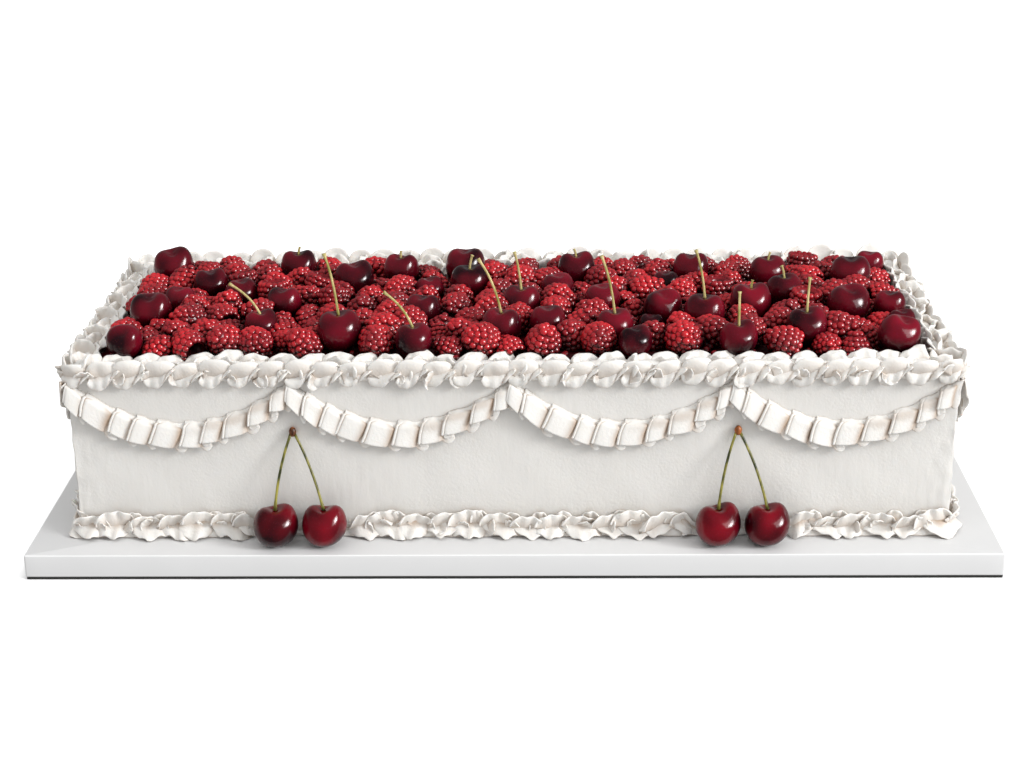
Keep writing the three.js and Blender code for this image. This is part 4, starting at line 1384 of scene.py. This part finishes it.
class CAKE_OT_pairs(bpy.types.Operator):
    """Stands the two pairs of cherries on the board, with their stems leaning on the cake's front"""

    bl_idname = "cake.pairs"
    bl_label = "Cherry pairs"

    def execute(self, context):
        skin = cherry_skin("Cherry skin, bright", linear("#240107"), linear("#7E071A"))
        green = stalk("Cherry stalk, green", linear("#323814"), linear("#9C9440"))
        knob = stalk("Cherry stalk knob", linear("#2E140A"), linear("#B4672E"))
        level = BOARD_TOP + GAP + FRUIT_SQUAT * PAIR["diameter"] / 2
        for side, middle in PAIR_CENTRES.items():
            knot = np.array((middle - 3, -HALF_DEPTH - PAIR["knot_out"], BOARD_TOP + PAIR["knot"]))
            rods = []
            for half, letter in ((-1, "a"), (1, "b")):
                centre = np.array((middle + half * PAIR["spacing"] / 2, PAIR["y"], level))
                seed = 1400 + (5 if side == "left" else 9) * half
                fruit, faces = cherry_fruit(PAIR["diameter"], seed, rows=34, sides=48)
                # A hair slimmer than the solid, to stay inside it
                fruit = np.array(fruit) * (0.995, 0.995, 1) + centre
                made = new_object(f"{side}_cherry_{letter}", fruit, faces, [skin])
                dress(made, f"{side}_pair_cherry_{letter}")
                foot = centre + (0, 0, DIMPLE * PAIR["diameter"] / 2 + 0.3)
                joint = knot + (1.2 * half, 0, -1.5)
                bend = (foot + joint) / 2 + (PAIR["bow"] * half, -1, 3)
                rods.append(stem_tube(foot, joint, bend, PAIR["stem"], 0.95, steps=18))
            heights, radii = (-2.6, -1.2, 0.4, 1.8, 2.7), (1.3, 2.0, 2.2, 1.7, 0.9)
            top = tube([knot + (0, 0.2, z) for z in heights], radii, 10)
            points, faces = joined([*rods, top])
            knob_faces = len(top[1])
            kinds = [0] * (len(faces) - knob_faces) + [1] * knob_faces
            made = new_object(f"{side}_stems", points, faces, [green, knob], kinds)
            dress(made, f"{side}_pair_stems")
        return {"FINISHED"}


# The studio's suns: the way that each shines, its power and its width in degrees. A window at the right, low
# enough to rake the folds, a larger soft box the same way that only gloss shows, a white ceiling, white
# walls in front and behind and the light that a white table throws back up
SUNS = {
    "Window": ((-0.84, 0.38, -0.4), 1.5, 14),
    "Softbox": ((-0.84, 0.38, -0.4), 2.6, 25),
    "Ceiling": ((0.05, 0.1, -1), 1.2, 90),
    "Wall": ((0.1, 1, -0.15), 1.02, 140),
    "Table": ((0, 0.8, 0.6), 0.44, 100),
    "Backdrop": ((0.62, -0.7, -0.3), 0.7, 120),
}


class CAKE_OT_stage(bpy.types.Operator):
    """Sets the pale floor, the soft studio lights and the camera at the photograph's angle"""

    bl_idname = "cake.stage"
    bl_label = "Stage"

    def execute(self, context):
        scene = context.scene
        scene.view_settings.view_transform = "Standard"
        self.floor()
        world = bpy.data.worlds.new("Studio")
        scene.world = world
        world.use_nodes = True
        world.node_tree.nodes.clear()
        sky = add(world.node_tree, "ShaderNodeBackground", {"Color": linear("#FFFFFF"), "Strength": 0.235})
        add(world.node_tree, "ShaderNodeOutputWorld", {"Surface": sky.outputs[0]})
        for name, (way, power, width) in SUNS.items():
            lamp = bpy.data.lights.new(name, "SUN")
            lamp.energy, lamp.angle = power, math.radians(width)
            hung = self.hang(scene, lamp, (0, 0, 0), way, name in ("Window", "Softbox"))
            hung.visible_diffuse = name != "Softbox"
        # A reflector close to the right end, so that the light falls off to the left
        card = bpy.data.lights.new("Reflector", "AREA")
        card.energy, card.size = 11.2, 0.85
        at = Vector((1.22, -0.85, 0.76))
        self.hang(scene, card, at, -at, True)
        self.camera(scene)
        return {"FINISHED"}

    def floor(self):
        """A pale floor that glows a little, less and less close to the board: a painted contact shadow, a
        thin dark line round its foot.
        """
        made, tree, shader = new_material("Studio floor, matt white")
        set_shader(shader, Roughness=0.9, Specular_IOR_Level=0.1, Emission_Color=(1, 1, 1, 1))
        soft = add(tree, "ShaderNodeTexNoise", {"Vector": place(tree), "Scale": 2.0})
        cover(tree, shader, blend(tree, soft.outputs["Fac"], linear("#FAFAFA"), linear("#FDFDFD")))
        board_half = (CAD_BOX[1][0], CAD_BOX[1][1], 1.0)
        away = add(tree, "ShaderNodeVectorMath", {0: place(tree)}, operation="ABSOLUTE")
        past = add(tree, "ShaderNodeVectorMath", {0: away.outputs[0], 1: board_half}, operation="SUBTRACT")
        outside = add(tree, "ShaderNodeVectorMath", {0: past.outputs[0], 1: (0, 0, 0)}, operation="MAXIMUM")
        far = add(tree, "ShaderNodeVectorMath", {0: outside.outputs[0]}, operation="LENGTH")
        # Painted contact shadow: no glow under the board, rising over 12 mm outside it
        glow = ramp(tree, far.outputs["Value"], 0.0, 0.012, 0.0, 0.5)
        tree.links.new(glow, shader.inputs["Emission Strength"])
        half, level = 12000, -0.05
        corners = [(x * half, y * half, level) for x, y in ((-1, -1), (1, -1), (1, 1), (-1, 1))]
        floor = new_object("floor", corners, [(0, 1, 2, 3)], [made])
        if floor.data.polygons[0].normal.z < 0:
            floor.data.flip_normals()
        floor.visible_diffuse = floor.visible_shadow = floor.visible_glossy = False

    def hang(self, scene, lamp, at, way, shines):
        """Hangs a lamp that looks along a way; one that shines also shows in gloss."""
        hung = bpy.data.objects.new(lamp.name, lamp)
        hung.location = at
        hung.rotation_euler = Vector(way).to_track_quat("-Z", "Y").to_euler()
        hung.visible_glossy = shines
        scene.collection.objects.link(hung)
        return hung

    def camera(self, scene):
        """The fitted camera: its eye, angles and focal length in pixels come from the board's corners."""
        eye = Vector((23.889, -1107.386, 482.371)) * MM
        pitch, roll, yaw = (math.radians(a) for a in (20.579, -0.693, -1.325))
        focal_pixels = 1898.9
        ahead = Vector((math.sin(yaw) * math.cos(pitch), math.cos(yaw) * math.cos(pitch), -math.sin(pitch)))
        right = Vector((math.cos(yaw), -math.sin(yaw), 0))
        up = right.cross(ahead)
        side = right * math.cos(roll) + up * math.sin(roll)
        above = up * math.cos(roll) - right * math.sin(roll)
        data = bpy.data.cameras.new("Camera")
        data.sensor_width = SENSOR
        data.lens = focal_pixels * SENSOR / IMAGE_WIDTH
        data.clip_start, data.clip_end = 0.01, 100
        camera = bpy.data.objects.new("Camera", data)
        camera.matrix_world = Matrix.Translation(eye) @ Matrix((side, above, -ahead)).transposed().to_4x4()
        scene.collection.objects.link(camera)
        scene.camera = camera


OPERATORS = (CAKE_OT_stage, CAKE_OT_board, CAKE_OT_body, CAKE_OT_top_border, CAKE_OT_foot_border,
             CAKE_OT_swags, CAKE_OT_raspberries, CAKE_OT_cherries, CAKE_OT_pairs)


class CAKE_PT_panel(bpy.types.Panel):
    """Lists the settings and the steps of the cake"""

    bl_label = "Layer cake"
    bl_idname = "CAKE_PT_panel"
    bl_space_type = "VIEW_3D"
    bl_region_type = "UI"
    bl_category = "Cake"

    def draw(self, context):
        for group in (context.scene.cake_sizes, context.scene.cake_colours):
            for name in group.__annotations__:
                self.layout.prop(group, name)
        for operator in OPERATORS:
            self.layout.operator(operator.bl_idname)


def register():
    for kind in (CakeSizes, CakeColours, *OPERATORS, CAKE_PT_panel):
        bpy.utils.register_class(kind)
    bpy.types.Scene.cake_sizes = PointerProperty(type=CakeSizes)
    bpy.types.Scene.cake_colours = PointerProperty(type=CakeColours)


def unregister():
    del bpy.types.Scene.cake_colours
    del bpy.types.Scene.cake_sizes
    for kind in reversed((CakeSizes, CakeColours, *OPERATORS, CAKE_PT_panel)):
        bpy.utils.unregister_class(kind)


def main():
    register()
    for operator in OPERATORS:
        group, name = operator.bl_idname.split(".")
        getattr(getattr(bpy.ops, group), name)()


if __name__ == "__main__":
    main()
